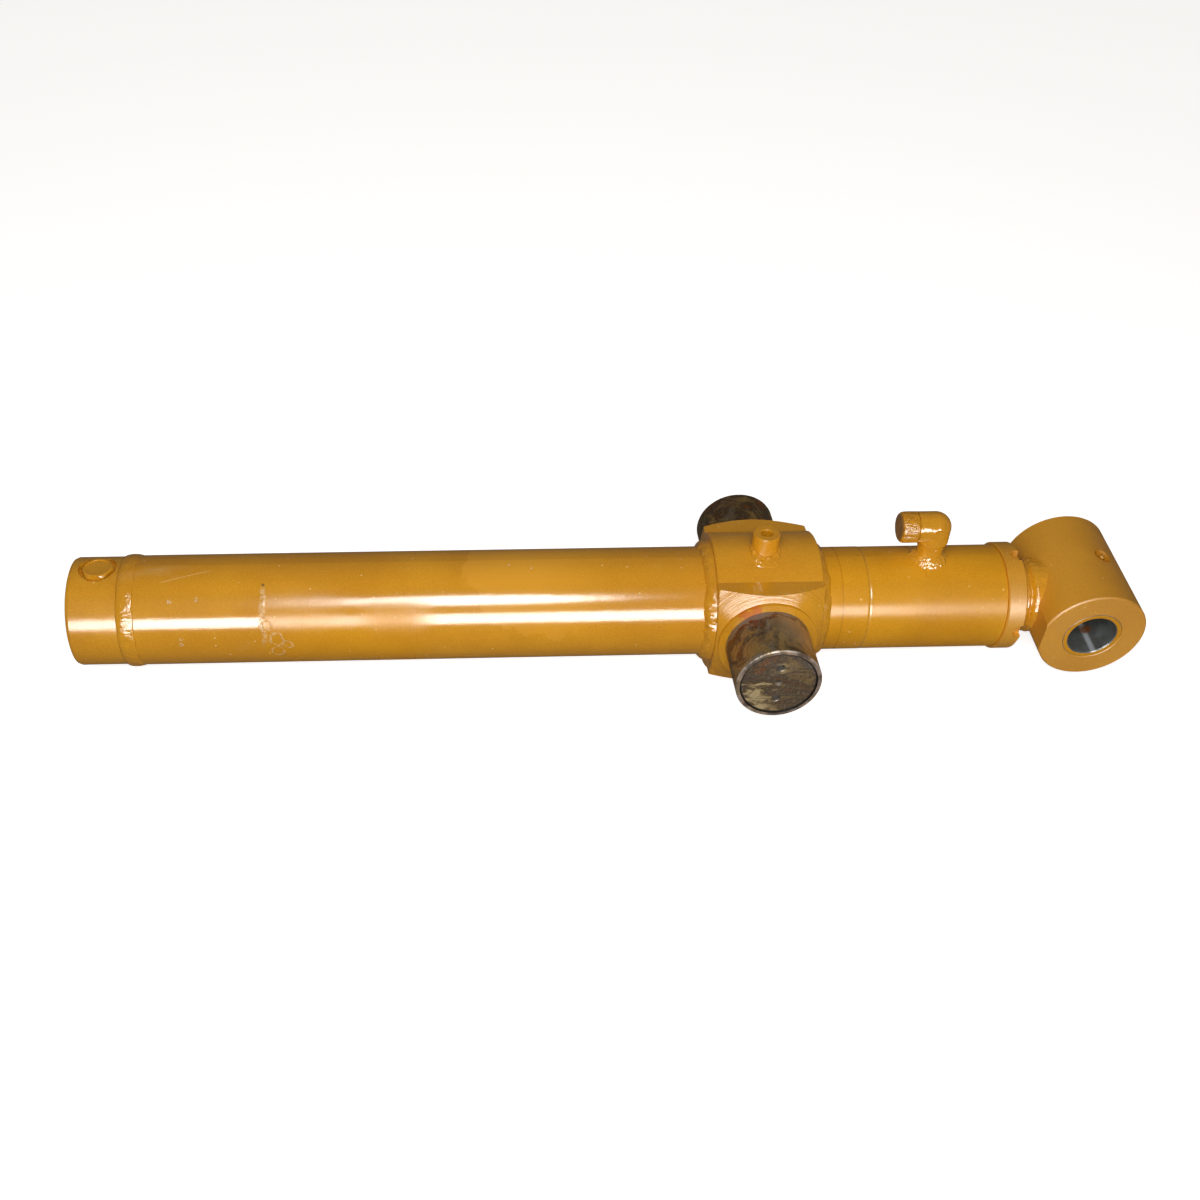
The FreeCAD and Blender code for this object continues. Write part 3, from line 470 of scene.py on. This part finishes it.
def tube_paint():
    """The barrel's paint: tape residue, dull stretches, and turned marks at the rod end."""
    shade = Shade("paint_tube")
    x = shade.axis(0)
    turn = shade.math("ARCTAN2", shade.axis(1), shade.axis(2))
    torn = tape_residue(shade, x, turn)
    dull, gap, hazy = dull_stretches(shade, x, turn)
    turned = shade.step(x, 0.064, 0.066)
    far = shade.step(x, 0.100, 0.260)
    ring = shade.gap(x, RING_X * MM)
    polished = shade.step(ring, 0.0026, 0.0016)
    fine_line_shade = shade.step(shade.gap(x, FINE_LINE_X * MM), 0.0012, 0.0004)

    color = paint_color(shade)
    color = overspray(shade, x, color)
    color = tube_marks(shade, x, turn, color)
    color = shade.mix(shade.times(torn, 0.42), color, (0.90, 0.64, 0.32))
    # Painted shade: a darker thin line in the turned groove at FINE_LINE_X.
    color = shade.mix(shade.times(fine_line_shade, 0.45), color, YELLOW_SHADE)
    rough = shade.range(shade.noise(14.0, 3.0), 0.10, 0.17)
    rough = shade.total(rough, shade.times(dull, 0.09), shade.times(gap, 0.16))
    rough = shade.total(rough, shade.times(turned, 0.05), shade.times(far, 0.14))
    color, rough = paint_wear(shade, color, rough)
    loss = shade.total(shade.times(turned, 0.52), shade.times(far, 0.10))
    loss = shade.times(loss, shade.range(polished, 1.0, 0.0))
    loss = shade.total(loss, shade.times(hazy, 0.42), shade.times(gap, 0.15))

    shade.set("Base Color", color)
    shade.set("Roughness", rough)
    shade.set("IOR", shade.math("SUBTRACT", PAINT_IOR, loss))
    paint_relief(shade, 0.00005)
    coarse = shade.highest(dull, shade.times(gap, 0.8))
    shade.bump(shade.times(shade.noise(620.0, 3.0, 0.75), coarse), 0.00013)
    grainy = shade.step(x, -0.250, -0.150)
    shade.bump(shade.times(shade.noise(420.0, 2.0, 0.7), grainy), 0.00009)
    shade.bump(torn, 0.0003)
    shade.bump(shade.line_noise(x, 420.0, 2.0), 0.00003, turned)
    shade.bump(shade.step(ring, 0.0, 0.0026), 0.0007)
    return shade


def steel_look(shade, lines, grain_axis):
    """Bare ground steel with fine turning marks; returns its colour and roughness."""
    marks = shade.line_noise(grain_axis, lines, 3.0)
    color = shade.mix(shade.step(marks, 0.3, 0.7), tuple(v * 0.72 for v in STEEL), STEEL)
    rough = shade.range(marks, 0.28, 0.42)
    shade.bump(marks, 0.00004)
    return color, rough


def stain(shade, color, rough, clouds, wash, amount=1.0):
    """Heat tint, dried oil and light rust in the patches that clouds and wash mark out."""
    oily = shade.step(clouds, 0.32, 0.50)
    color = shade.mix(shade.times(oily, 0.92 * amount), color, BROWN_STAIN)
    gold = shade.times(shade.step(wash, 0.47, 0.60), shade.step(clouds, 0.34, 0.46))
    color = shade.mix(shade.times(gold, 0.85 * amount), color, GOLD_STAIN)
    orange = shade.times(shade.step(wash, 0.45, 0.35), shade.step(clouds, 0.40, 0.48))
    color = shade.mix(shade.times(orange, 0.80 * amount), color, (0.34, 0.105, 0.016))
    violet = shade.step(shade.noise(24.0, 3.0, 0.5, shade.shifted((9, 4, 2))), 0.58, 0.68)
    color = shade.mix(shade.times(violet, 0.35 * amount), color, (0.14, 0.080, 0.070))
    fine = shade.noise(300.0, 4.0, 0.8)
    color = shade.mix(shade.times(shade.step(fine, 0.54, 0.68), 0.45), color, (0.62, 0.55, 0.44))
    color = shade.mix(shade.times(shade.step(fine, 0.46, 0.34), 0.50), color, (0.030, 0.022, 0.016))
    rough = shade.total(rough, shade.times(oily, 0.10), shade.times(gold, 0.06))
    return color, rough


def pin_steel():
    """The sleeve: bare by the collar, stained beyond a ragged tide line, with a bright rim and a
    painted highlight.
    """
    shade = Shade("pin_steel")
    y = shade.math("ABSOLUTE", shade.axis(1))
    color, rough = steel_look(shade, 700.0, y)
    clean = color
    clouds = shade.noise(19.0, 5.0, 0.66, shade.scaled((1, 0.55, 1)), 1.2)
    wash = shade.noise(30.0, 4.0, 0.6, shade.shifted((3, 1, 7)), 0.8)
    color, rough = stain(shade, color, rough, clouds, wash)
    # Painted highlight: a pale patch on the upper side of the front sleeve.
    rubbed_and_highlight = shade.step(shade.distance(mm(28, -112, 43)), 0.048, 0.012)
    color = shade.mix(shade.times(rubbed_and_highlight, 0.60), color, (0.60, 0.46, 0.28))
    edge = shade.total(y, shade.swing(shade.noise(30.0, 4.0, 0.6), 0.050))
    used = shade.step(edge, 0.0930, 0.0945)
    tide = shade.times(used, shade.step(edge, 0.0975, 0.0950))
    color = shade.mix(used, shade.mix(0.35, clean, (0.10, 0.07, 0.05)), color)
    color = shade.mix(shade.times(tide, 0.85), color, (0.16, 0.045, 0.010))
    end = shade.step(y, 0.1562, 0.1570)
    mottled = shade.step(shade.noise(75.0, 3.0, 0.6), 0.42, 0.60)
    end_color = shade.mix(mottled, (0.16, 0.13, 0.11), (0.44, 0.34, 0.30))
    color = shade.mix(shade.times(end, 0.60), color, end_color)
    off_axis = shade.radius(1)
    rim = shade.times(shade.step(y, 0.1550, 0.1566), shade.step(off_axis, 0.0484, 0.0490))
    color = shade.mix(shade.times(rim, mottled, 0.60), color, (0.66, 0.60, 0.52))
    # Painted shade: near black at the inner edge of the sleeve's end, in the gap round the stub.
    seam_shade = shade.times(end, shade.step(off_axis, 0.0455, 0.0447))
    color = shade.mix(seam_shade, color, SEAM_SHADE)
    shade.set("Base Color", color)
    shade.set("Roughness", rough)
    shade.set("Metallic", 0.70)
    shade.bump(shade.noise(330.0, 4.0, 0.75), 0.00012)
    return shade


def stub_face(shade, off_axis):
    """The stub's end: dark and turned, with slanting smears of oil; the holes' walls are bare,
    lightened as a painted highlight.
    """
    drift = shade.scaled((0.45, 1.0, 1.5))
    smears = shade.noise(34.0, 6.0, 0.66, drift, 1.6)
    color, rough = steel_look(shade, 900.0, off_axis)
    color = shade.mix(0.72, color, (0.070, 0.046, 0.030))
    clouds = shade.noise(26.0, 4.0, 0.6, None, 0.8)
    color, _ = stain(shade, color, rough, clouds, smears, 0.62)
    left = shade.step(shade.axis(0), 0.012, -0.012)
    bright = shade.times(shade.step(smears, 0.53, 0.63), left)
    color = shade.mix(shade.times(bright, 0.90), color, (0.74, 0.58, 0.32))
    # Bare steel in the holes, made lighter as a painted highlight on their walls.
    deep = shade.step(shade.math("ABSOLUTE", shade.axis(1)), 0.1562, 0.1556)
    color = shade.mix(shade.times(deep, 0.60), color, (0.26, 0.25, 0.23))
    # Painted shade: near black at the stub's outer edge, in the gap inside the sleeve.
    seam_shade = shade.step(off_axis, 0.0424, 0.0434)
    return shade.mix(seam_shade, color, SEAM_SHADE)


def trunnion_paint():
    """Paint over turned cones and collars; the stub's bare end face is inside the sleeve."""
    shade = Shade("paint_trunnion")
    y = shade.math("ABSOLUTE", shade.axis(1))
    color = paint_color(shade)
    rough = shade.range(shade.noise(14.0, 3.0), 0.10, 0.18)
    color, rough = paint_wear(shade, color, rough)
    rust_spot = shade.step(shade.distance(mm(-26, COLLAR_Y, 47)), 0.017, 0.012)
    ragged = shade.step(shade.noise(110.0, 3.0), 0.36, 0.46)
    rust_mask = shade.times(rust_spot, ragged, shade.step(y, 0.0800, 0.0830))
    color = shade.mix(shade.times(rust_mask, 0.92), color, RUST)
    off_axis = shade.radius(1)
    cone = shade.times(shade.step(y, 0.058, 0.061), shade.step(off_axis, 0.0590, 0.0600))
    collar = shade.times(shade.step(y, 0.080, 0.081), shade.step(off_axis, 0.0600, 0.0590))
    coarse = shade.line_noise(off_axis, 330.0, 1.0)
    rings = shade.line_noise(off_axis, 900.0, 3.0)
    bare = shade.step(y, 0.125, 0.126)
    shade.set("Base Color", shade.mix(bare, color, stub_face(shade, off_axis)))
    shade.set("Roughness", shade.total(rough, shade.times(bare, 0.22)))
    shade.set("Metallic", shade.times(bare, 0.65))
    shade.set("IOR", PAINT_IOR)
    paint_relief(shade)
    shade.bump(coarse, 0.0011, cone)
    shade.bump(rings, 0.0005, cone)
    shade.bump(rings, 0.0002, collar)
    shade.bump(shade.noise(400.0, 4.0, 0.8), 0.00015, bare)
    return shade


def bush_steel(axis):
    """Bored steel with a painted reflection along it as a bright line, painted end faces and a
    smear of grease.
    """
    shade = Shade("bush_steel")
    s = shade.math("ABSOLUTE", shade.along(axis))
    end = shade.step(s, 0.07565, 0.07575)
    marks = shade.line_noise(s, 1500.0, 3.0)
    steel = shade.mix(shade.step(marks, 0.3, 0.7), (0.20, 0.22, 0.22), (0.34, 0.36, 0.36))
    mottle = shade.step(shade.noise(45.0, 4.0, 0.6), 0.42, 0.60)
    steel = shade.mix(shade.times(mottle, 0.55), steel, (0.13, 0.12, 0.09))
    # Painted reflection: a bright bluish-white line along the lower wall of the bore.
    across = shade.gap(shade.axis(0), (EYE_X + 10.0) * MM)
    low = shade.step(shade.axis(2), -0.010, -0.020)
    line = shade.times(shade.step(across, 0.0044, 0.0008), low)
    steel = shade.mix(shade.times(line, 0.90), steel, (0.86, 0.90, 0.95))
    smear = shade.step(shade.distance(mm(411.0, -36.0, -28.5)), 0.0085, 0.0040)
    steel = shade.mix(shade.times(smear, 0.85), steel, (0.42, 0.12, 0.012))
    shade.set("Base Color", shade.mix(end, steel, paint_color(shade)))
    shade.set("Metallic", shade.math("SUBTRACT", 0.60, shade.times(end, 0.60)))
    shade.set("Roughness", shade.range(marks, 0.26, 0.38))
    shade.bump(marks, 0.00002)
    return shade


def chrome():
    """The rod's hard chrome with fine grinding marks."""
    shade = Shade("rod_chrome")
    marks = shade.line_noise(shade.axis(0), 2600.0, 2.0)
    shade.set("Base Color", shade.mix(marks, (0.60, 0.61, 0.63), (0.72, 0.73, 0.75)))
    shade.set("Metallic", 0.75)
    shade.set("Roughness", shade.range(shade.noise(30.0, 3.0), 0.05, 0.12))
    shade.bump(marks, 0.000006)
    return shade


def machined():
    """Turned steel inside the barrel."""
    shade = Shade("machined_steel")
    color, rough = steel_look(shade, 1300.0, shade.radius(0))
    shade.set("Base Color", color)
    shade.set("Roughness", rough)
    shade.set("Metallic", 0.95)
    return shade


def moulded(name, color, gloss):
    """Rubber, urethane or filled nylon with a little mottling and a soft surface."""
    shade = Shade(name)
    mottle = shade.noise(120.0, 3.0)
    shade.set("Base Color", shade.mix(mottle, tuple(v * 0.7 for v in color), color))
    shade.set("Roughness", shade.range(mottle, gloss, gloss + 0.15))
    shade.bump(shade.noise(700.0, 2.0), 0.00004)
    return shade


def wrinkled_skin():
    """Thick paint that has crept and wrinkled on a soft plastic cap; its fold hollows are darker
    and its end has painted shade.
    """
    shade = Shade("cap_skin")
    color = paint_color(shade)
    folds = shade.noise(120.0, 2.0, 0.5, shade.scaled((0.6, 1, 1)), 2.4)
    # Darker in the low parts of the folds.
    thin = shade.step(folds, 0.52, 0.34)
    color = shade.mix(shade.times(thin, 0.45), color, (0.34, 0.12, 0.012))
    # Painted shade: the cap's closed end face is darkened.
    end = shade.step(shade.axis(0), (ELBOW_CAP_X + 1.7) * MM, (ELBOW_CAP_X + 0.5) * MM)
    color = shade.mix(shade.times(end, 0.75), color, (0.20, 0.095, 0.025))
    shade.set("Base Color", color)
    shade.set("Roughness", shade.range(shade.noise(90.0, 2.0), 0.04, 0.10))
    shade.set("IOR", PAINT_IOR)
    shade.bump(folds, 0.0022)
    return shade


# Mesh pieces

def add_piece(name, vertices, faces, shade, body, replaced):
    """A smooth mesh that rides on a body and is seen in place of one CAD node."""
    mesh = bpy.data.meshes.new(name)
    mesh.from_pydata(vertices, [], faces)
    mesh.validate()
    build = bmesh.new()
    build.from_mesh(mesh)
    bmesh.ops.recalc_face_normals(build, faces=build.faces)
    build.to_mesh(mesh)
    build.free()
    for polygon in mesh.polygons:
        polygon.use_smooth = True
    mesh.materials.append(shade.material)
    piece = bpy.data.objects.new(name, mesh)
    bpy.context.scene.collection.objects.link(piece)
    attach(piece, body)
    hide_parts(replaced)


def ring_faces(around, across):
    """Quads of a closed ring: around steps, each with a closed outline of across points."""
    faces = []
    for i in range(around):
        for j in range(across):
            a = i * across + j
            b = i * across + (j + 1) % across
            c = ((i + 1) % around) * across + (j + 1) % across
            d = ((i + 1) % around) * across + j
            faces.append((a, b, c, d))
    return faces


def wave(angle, seed, times=3.0):
    """Smooth, repeatable unevenness round a ring, about -1 to 1."""
    spot = Vector((math.cos(angle) * times, math.sin(angle) * times, seed))
    return noise.noise(spot) * 1.8


def lumps(point, seed, size):
    """Smooth unevenness in space, with lumps about this size."""
    return noise.noise(point / size + Vector((seed, seed * 2, seed * 3)))


def about_x(x, radius, angle):
    """The point at this radius and angle round the cylinder's axis. Angle 0 is up."""
    return Vector((x, radius * math.sin(angle), radius * math.cos(angle)))


def weld_about_x(name, outline, seed, relief, shade, body, replaced, around=360):
    """A weld ring about the cylinder's axis. outline(angle) gives the seen (x, r) points in
    order and the hidden ones that close it."""
    vertices = []
    across = 0
    for i in range(around):
        angle = 2 * math.pi * i / around
        seen, hidden = outline(angle)
        last = len(seen) - 1
        for j, (x, r) in enumerate(seen):
            swell = math.sin(math.pi * j / last)
            point = about_x(x, r, angle)
            rise = lumps(point, seed, 0.006) + 0.5 * lumps(point, seed + 5, 0.0025)
            vertices.append(about_x(x, r + relief * swell * rise, angle))
        vertices.extend(about_x(x, r, angle) for x, r in hidden)
        across = len(seen) + len(hidden)
    faces = ring_faces(around, across)
    add_piece(name, vertices, faces, shade, body, replaced)


def add_base_weld(shade):
    """A wide, nearly flat ring between the cap and the tube."""
    middle, half = JOINT_X * MM, 10.2 * MM
    cap_r, tube_r = CAP_R * MM, TUBE_R * MM
    crown_r, root_r = 68.35 * MM, 60.0 * MM
    count = 18

    def outline(angle):
        left = middle - half - 0.3 * MM * wave(angle, 1.0, 4)
        right = middle + half + 1.0 * MM * wave(angle, 2.0, 7)
        seen = []
        for j in range(count + 1):
            t = j / count
            base = cap_r + (tube_r - cap_r) * t - 0.1 * MM
            dome = min(1.0, (math.sin(math.pi * t)) ** 0.55)
            ripple = 0.10 * MM * math.sin(angle * 95 + 3.0 * (t - 0.5) ** 2)
            rise = (crown_r - base + 0.3 * MM * wave(angle, 3.0, 5)) * dome
            seen.append((left + (right - left) * t, base + rise + ripple * dome))
        return seen, [(middle, root_r)]

    weld_about_x("base_weld_bead", outline, 11.0, 0.25 * MM, shade, "barrel", "base_weld")


def add_trunnion_weld(name, replaced, face_x, tube_r, side, seed, shade):
    """A fillet between the tube and one end of the block. side is -1 behind it, 1 in front."""
    count = 18

    def outline(angle):
        leg = (12.4 + 1.5 * wave(angle, seed, 4) + 0.5 * wave(angle, seed + 1, 16)) * MM
        rise = (9.0 + 0.9 * wave(angle, seed + 2, 5)) * MM
        scallop = 0.10 * MM * math.sin(angle * 78 + 2 * wave(angle, seed + 3, 3))
        seen = []
        for j in range(count + 1):
            t = j / count
            bulge = math.sin(math.pi * t)
            x = face_x + side * (leg * (1 - t) + bulge * (1.7 * MM + scallop))
            r = tube_r - 0.1 * MM + rise * t + bulge * (1.2 * MM + scallop)
            seen.append((x, r))
        return seen, [(face_x - side * 0.4 * MM, tube_r + rise), (face_x - side * 0.4 * MM, tube_r)]

    weld_about_x(name, outline, seed, 0.30 * MM, shade, "barrel", replaced)


def add_eye_weld(shade):
    """Two rings of weld, the second running up onto the eye."""
    start_x, second_x = 320.9, 331.1
    toe_r, crest, eye_r = 34.8, 8.6, 46.0
    inside_r = (ROD_R - 8) * MM

    def outline(angle):
        sway = wave(angle, 21.0, 4)
        seen = []
        for j in range(15):
            t = j / 14
            x = start_x + 10.2 * t + 0.5 * sway
            r = toe_r + crest * math.sin(math.pi * min(t * 0.80, 1.0)) + 0.4 * sway
            seen.append((x * MM, r * MM))
        start_r = seen[-1][1] / MM
        for j in range(1, 19):
            t = j / 18
            x = second_x + 0.5 * sway + 26.0 * t
            climb = (eye_r - start_r) * math.sin(math.pi * min(0.5, t * 1.6))
            r = start_r + climb - 2.5 * max(0, t - 0.3)
            seen.append((x * MM, (r + 0.5 * wave(angle, 25.0, 6)) * MM))
        return seen, [(seen[-1][0], inside_r), (start_x * MM, inside_r)]

    weld_about_x("rod_eye_weld_bead", outline, 31.0, 0.3 * MM, shade, "rod", "rod_eye_weld", 240)


def weld_about_z(name, centre, top, foot, ground, bulge, shade, replaced, seed, relief, ripples):
    """A fillet round an upright neck. top(angle) gives (radius, z) of its upper edge,
    foot(angle) its reach, and ground(x, y) the height of the surface below."""
    vertices = []
    around, rings = 220, 22
    for i in range(around):
        angle = 2 * math.pi * i / around
        direction = Vector((math.cos(angle), math.sin(angle), 0))
        top_r, top_z = top(angle)
        reach = foot(angle)
        low = centre + direction * reach
        low.z = ground(low.x, low.y) - 0.15 * MM
        high = centre + direction * top_r
        high.z = top_z
        for j in range(rings + 1):
            t = j / rings
            point = high.lerp(low, t)
            swell = math.sin(math.pi * t)
            rise = relief * (lumps(point, seed, 0.006) + 0.5 * lumps(point, seed + 4, 0.0025))
            ring = ripples * math.sin(math.pi * 2 * (t * 2.6 + 0.15 * wave(angle, seed, 3)))
            out = swell * (bulge + rise + ring)
            vertices.append(point + (direction * 0.75 + Vector((0, 0, 0.66))) * out)
        sunk = low - Vector((0, 0, 4 * MM))
        inner = high.copy()
        inner.z = sunk.z
        vertices.append(sunk)
        vertices.append(inner)
    faces = ring_faces(around, rings + 3)
    add_piece(name, vertices, faces, shade, "barrel", replaced)


def round_surface(radius):
    """Height of a round surface about the cylinder's axis, for weld_about_z."""
    return lambda x, y: math.sqrt(max(0.0, radius ** 2 - y ** 2))


def add_elbow_weld(shade):
    centre = mm(ELBOW_X, 0, 0)

    def top(angle):
        front = max(0.0, -math.sin(angle))
        return 14.9 * MM, (69.0 + 1.5 * front + 0.7 * wave(angle, 41.0, 3)) * MM

    def foot(angle):
        return (23.2 + 1.3 * wave(angle, 42.0, 3) + 0.5 * wave(angle, 43.0, 9)) * MM

    tube = round_surface(TURNED_R * MM)
    weld_about_z("elbow_weld_bead", centre, top, foot, tube, 0.9 * MM, shade,
                 "elbow_weld", 44.0, 0.5 * MM, 0.22 * MM)


def add_boss_weld(shade):
    """Wide before and behind the boss, where the crown falls away, and thin at its sides."""
    centre = mm(0, BOSS_Y, 0)

    def top(angle):
        beside = abs(math.cos(angle)) ** 3
        return 15.9 * MM, (83.6 + 3.6 * beside + 0.9 * wave(angle, 51.0, 3)) * MM

    def foot(angle):
        wide = 18.3 + 0.9 * wave(angle, 52.0, 3)
        deep = 28.6 if math.sin(angle) < 0 else 24.0
        c, s = abs(math.cos(angle)) / wide, abs(math.sin(angle)) / deep
        return MM / (c ** 3.4 + s ** 3.4) ** (1 / 3.4)

    crown = round_surface(CROWN_R * MM)
    weld_about_z("clamp_boss_weld_bead", centre, top, foot, crown, 0.7 * MM, shade,
                 "clamp_boss_weld", 54.0, 0.9 * MM, 0.25 * MM)


def add_wrinkled_cap(shade):
    """The push-on cap under thick, wrinkled paint."""
    axis_z = ELBOW_CAP_Z * MM
    left, right = ELBOW_CAP_X * MM, 181.1 * MM
    radius, edge = 18.7 * MM, 5.2 * MM
    inside_r, inside_x = 14.0 * MM, left + 3 * MM
    outline = [(left, 0.2 * MM)]
    outline += [(left, (radius - edge) * j / 7) for j in range(1, 8)]
    for j in range(1, 9):
        turn = math.pi / 2 * j / 8
        outline.append((left + edge * (1 - math.cos(turn)), radius - edge * (1 - math.sin(turn))))
    straight = right - 1.0 * MM - left - edge
    outline += [(left + edge + straight * j / 26, radius) for j in range(1, 27)]
    outline += [(right, radius - 0.8 * MM), (right, inside_r)]
    outline += [(inside_x, inside_r), (inside_x, 0.2 * MM)]
    around = 200
    vertices = []
    for i in range(around):
        angle = 2 * math.pi * i / around
        for x, r in outline:
            point = about_x(x, r, angle)
            share = 1.0 if r > radius - edge and x < right else 0.15
            fold = lumps(Vector((point.x * 0.7, point.y, point.z)), 61.0, 0.0065)
            fold += 0.6 * abs(lumps(point, 63.0, 0.0035))
            creep = 0.35 * MM * share * fold
            point = about_x(x, max(0.1 * MM, r + creep), angle)
            vertices.append(point + Vector((0, 0, axis_z)))
    faces = ring_faces(around, len(outline))
    add_piece("elbow_cap_skin", vertices, faces, shade, "barrel", "elbow_cap")


# Assembly

def dress(shade, *names):
    """Gives CAD nodes this material."""
    for name in names:
        slots = cad_nodes[name].data.materials
        slots.clear()
        slots.append(shade.material)


def dress_cad_nodes():
    plain = paint("paint_yellow")
    dress(plain, "base_cap", "base_port_plug", "clamp_boss")
    dress(paint("paint_gland", 0.00006, 0.36), "gland")
    forged = paint("paint_forged", 0.00012, 0.10)
    forged.bump(forged.noise(95.0, 2.0, 0.5), 0.0012)
    dress(forged, "port_elbow")
    dress(paint("paint_eye", 0.00014, 0.42), "rod_eye")
    dress(paint("paint_fitting", 0.00004, 0.14), "grease_fitting")
    dress(tube_paint(), "barrel_tube")
    dress(trunnion_paint(), "trunnion_body")
    dress(pin_steel(), "trunnion_sleeve_left", "trunnion_sleeve_right")
    dress(bush_steel(EYE_AXIS), "eye_bushing")
    dress(chrome(), "rod")
    dress(machined(), "piston", "piston_nut", "grease_fitting_ball")
    dress(moulded("wear_ring_nylon", (0.12, 0.11, 0.10), 0.45),
          "piston_wear_ring_rear", "piston_wear_ring_front", "rod_wear_ring_inner",
          "rod_wear_ring_outer", "piston_seal", "gland_backup_ring")
    dress(moulded("seal_rubber", (0.03, 0.03, 0.03), 0.40),
          "piston_seal_expander", "gland_o_ring", "plug_o_ring", "piston_o_ring")
    dress(moulded("seal_urethane", (0.20, 0.10, 0.04), 0.30), "rod_seal", "buffer_seal", "wiper")


def add_welds():
    weld = paint("paint_weld", 0.00009, 0.07)
    weld.bump(weld.noise(140.0, 3.0, 0.55), 0.0012)
    add_base_weld(weld)
    add_trunnion_weld("trunnion_weld_rear_bead", "trunnion_weld_rear",
                      BLOCK_REAR_X * MM, TUBE_R * MM, -1, 71.0, weld)
    add_trunnion_weld("trunnion_weld_front_bead", "trunnion_weld_front",
                      BLOCK_FRONT_X * MM, TURNED_R * MM, 1, 81.0, weld)
    add_eye_weld(weld)
    add_elbow_weld(weld)
    add_boss_weld(weld)


add_camera()
add_studio()
add_floor()
add_backdrop()
dress_cad_nodes()
add_welds()
add_wrinkled_cap(wrinkled_skin())
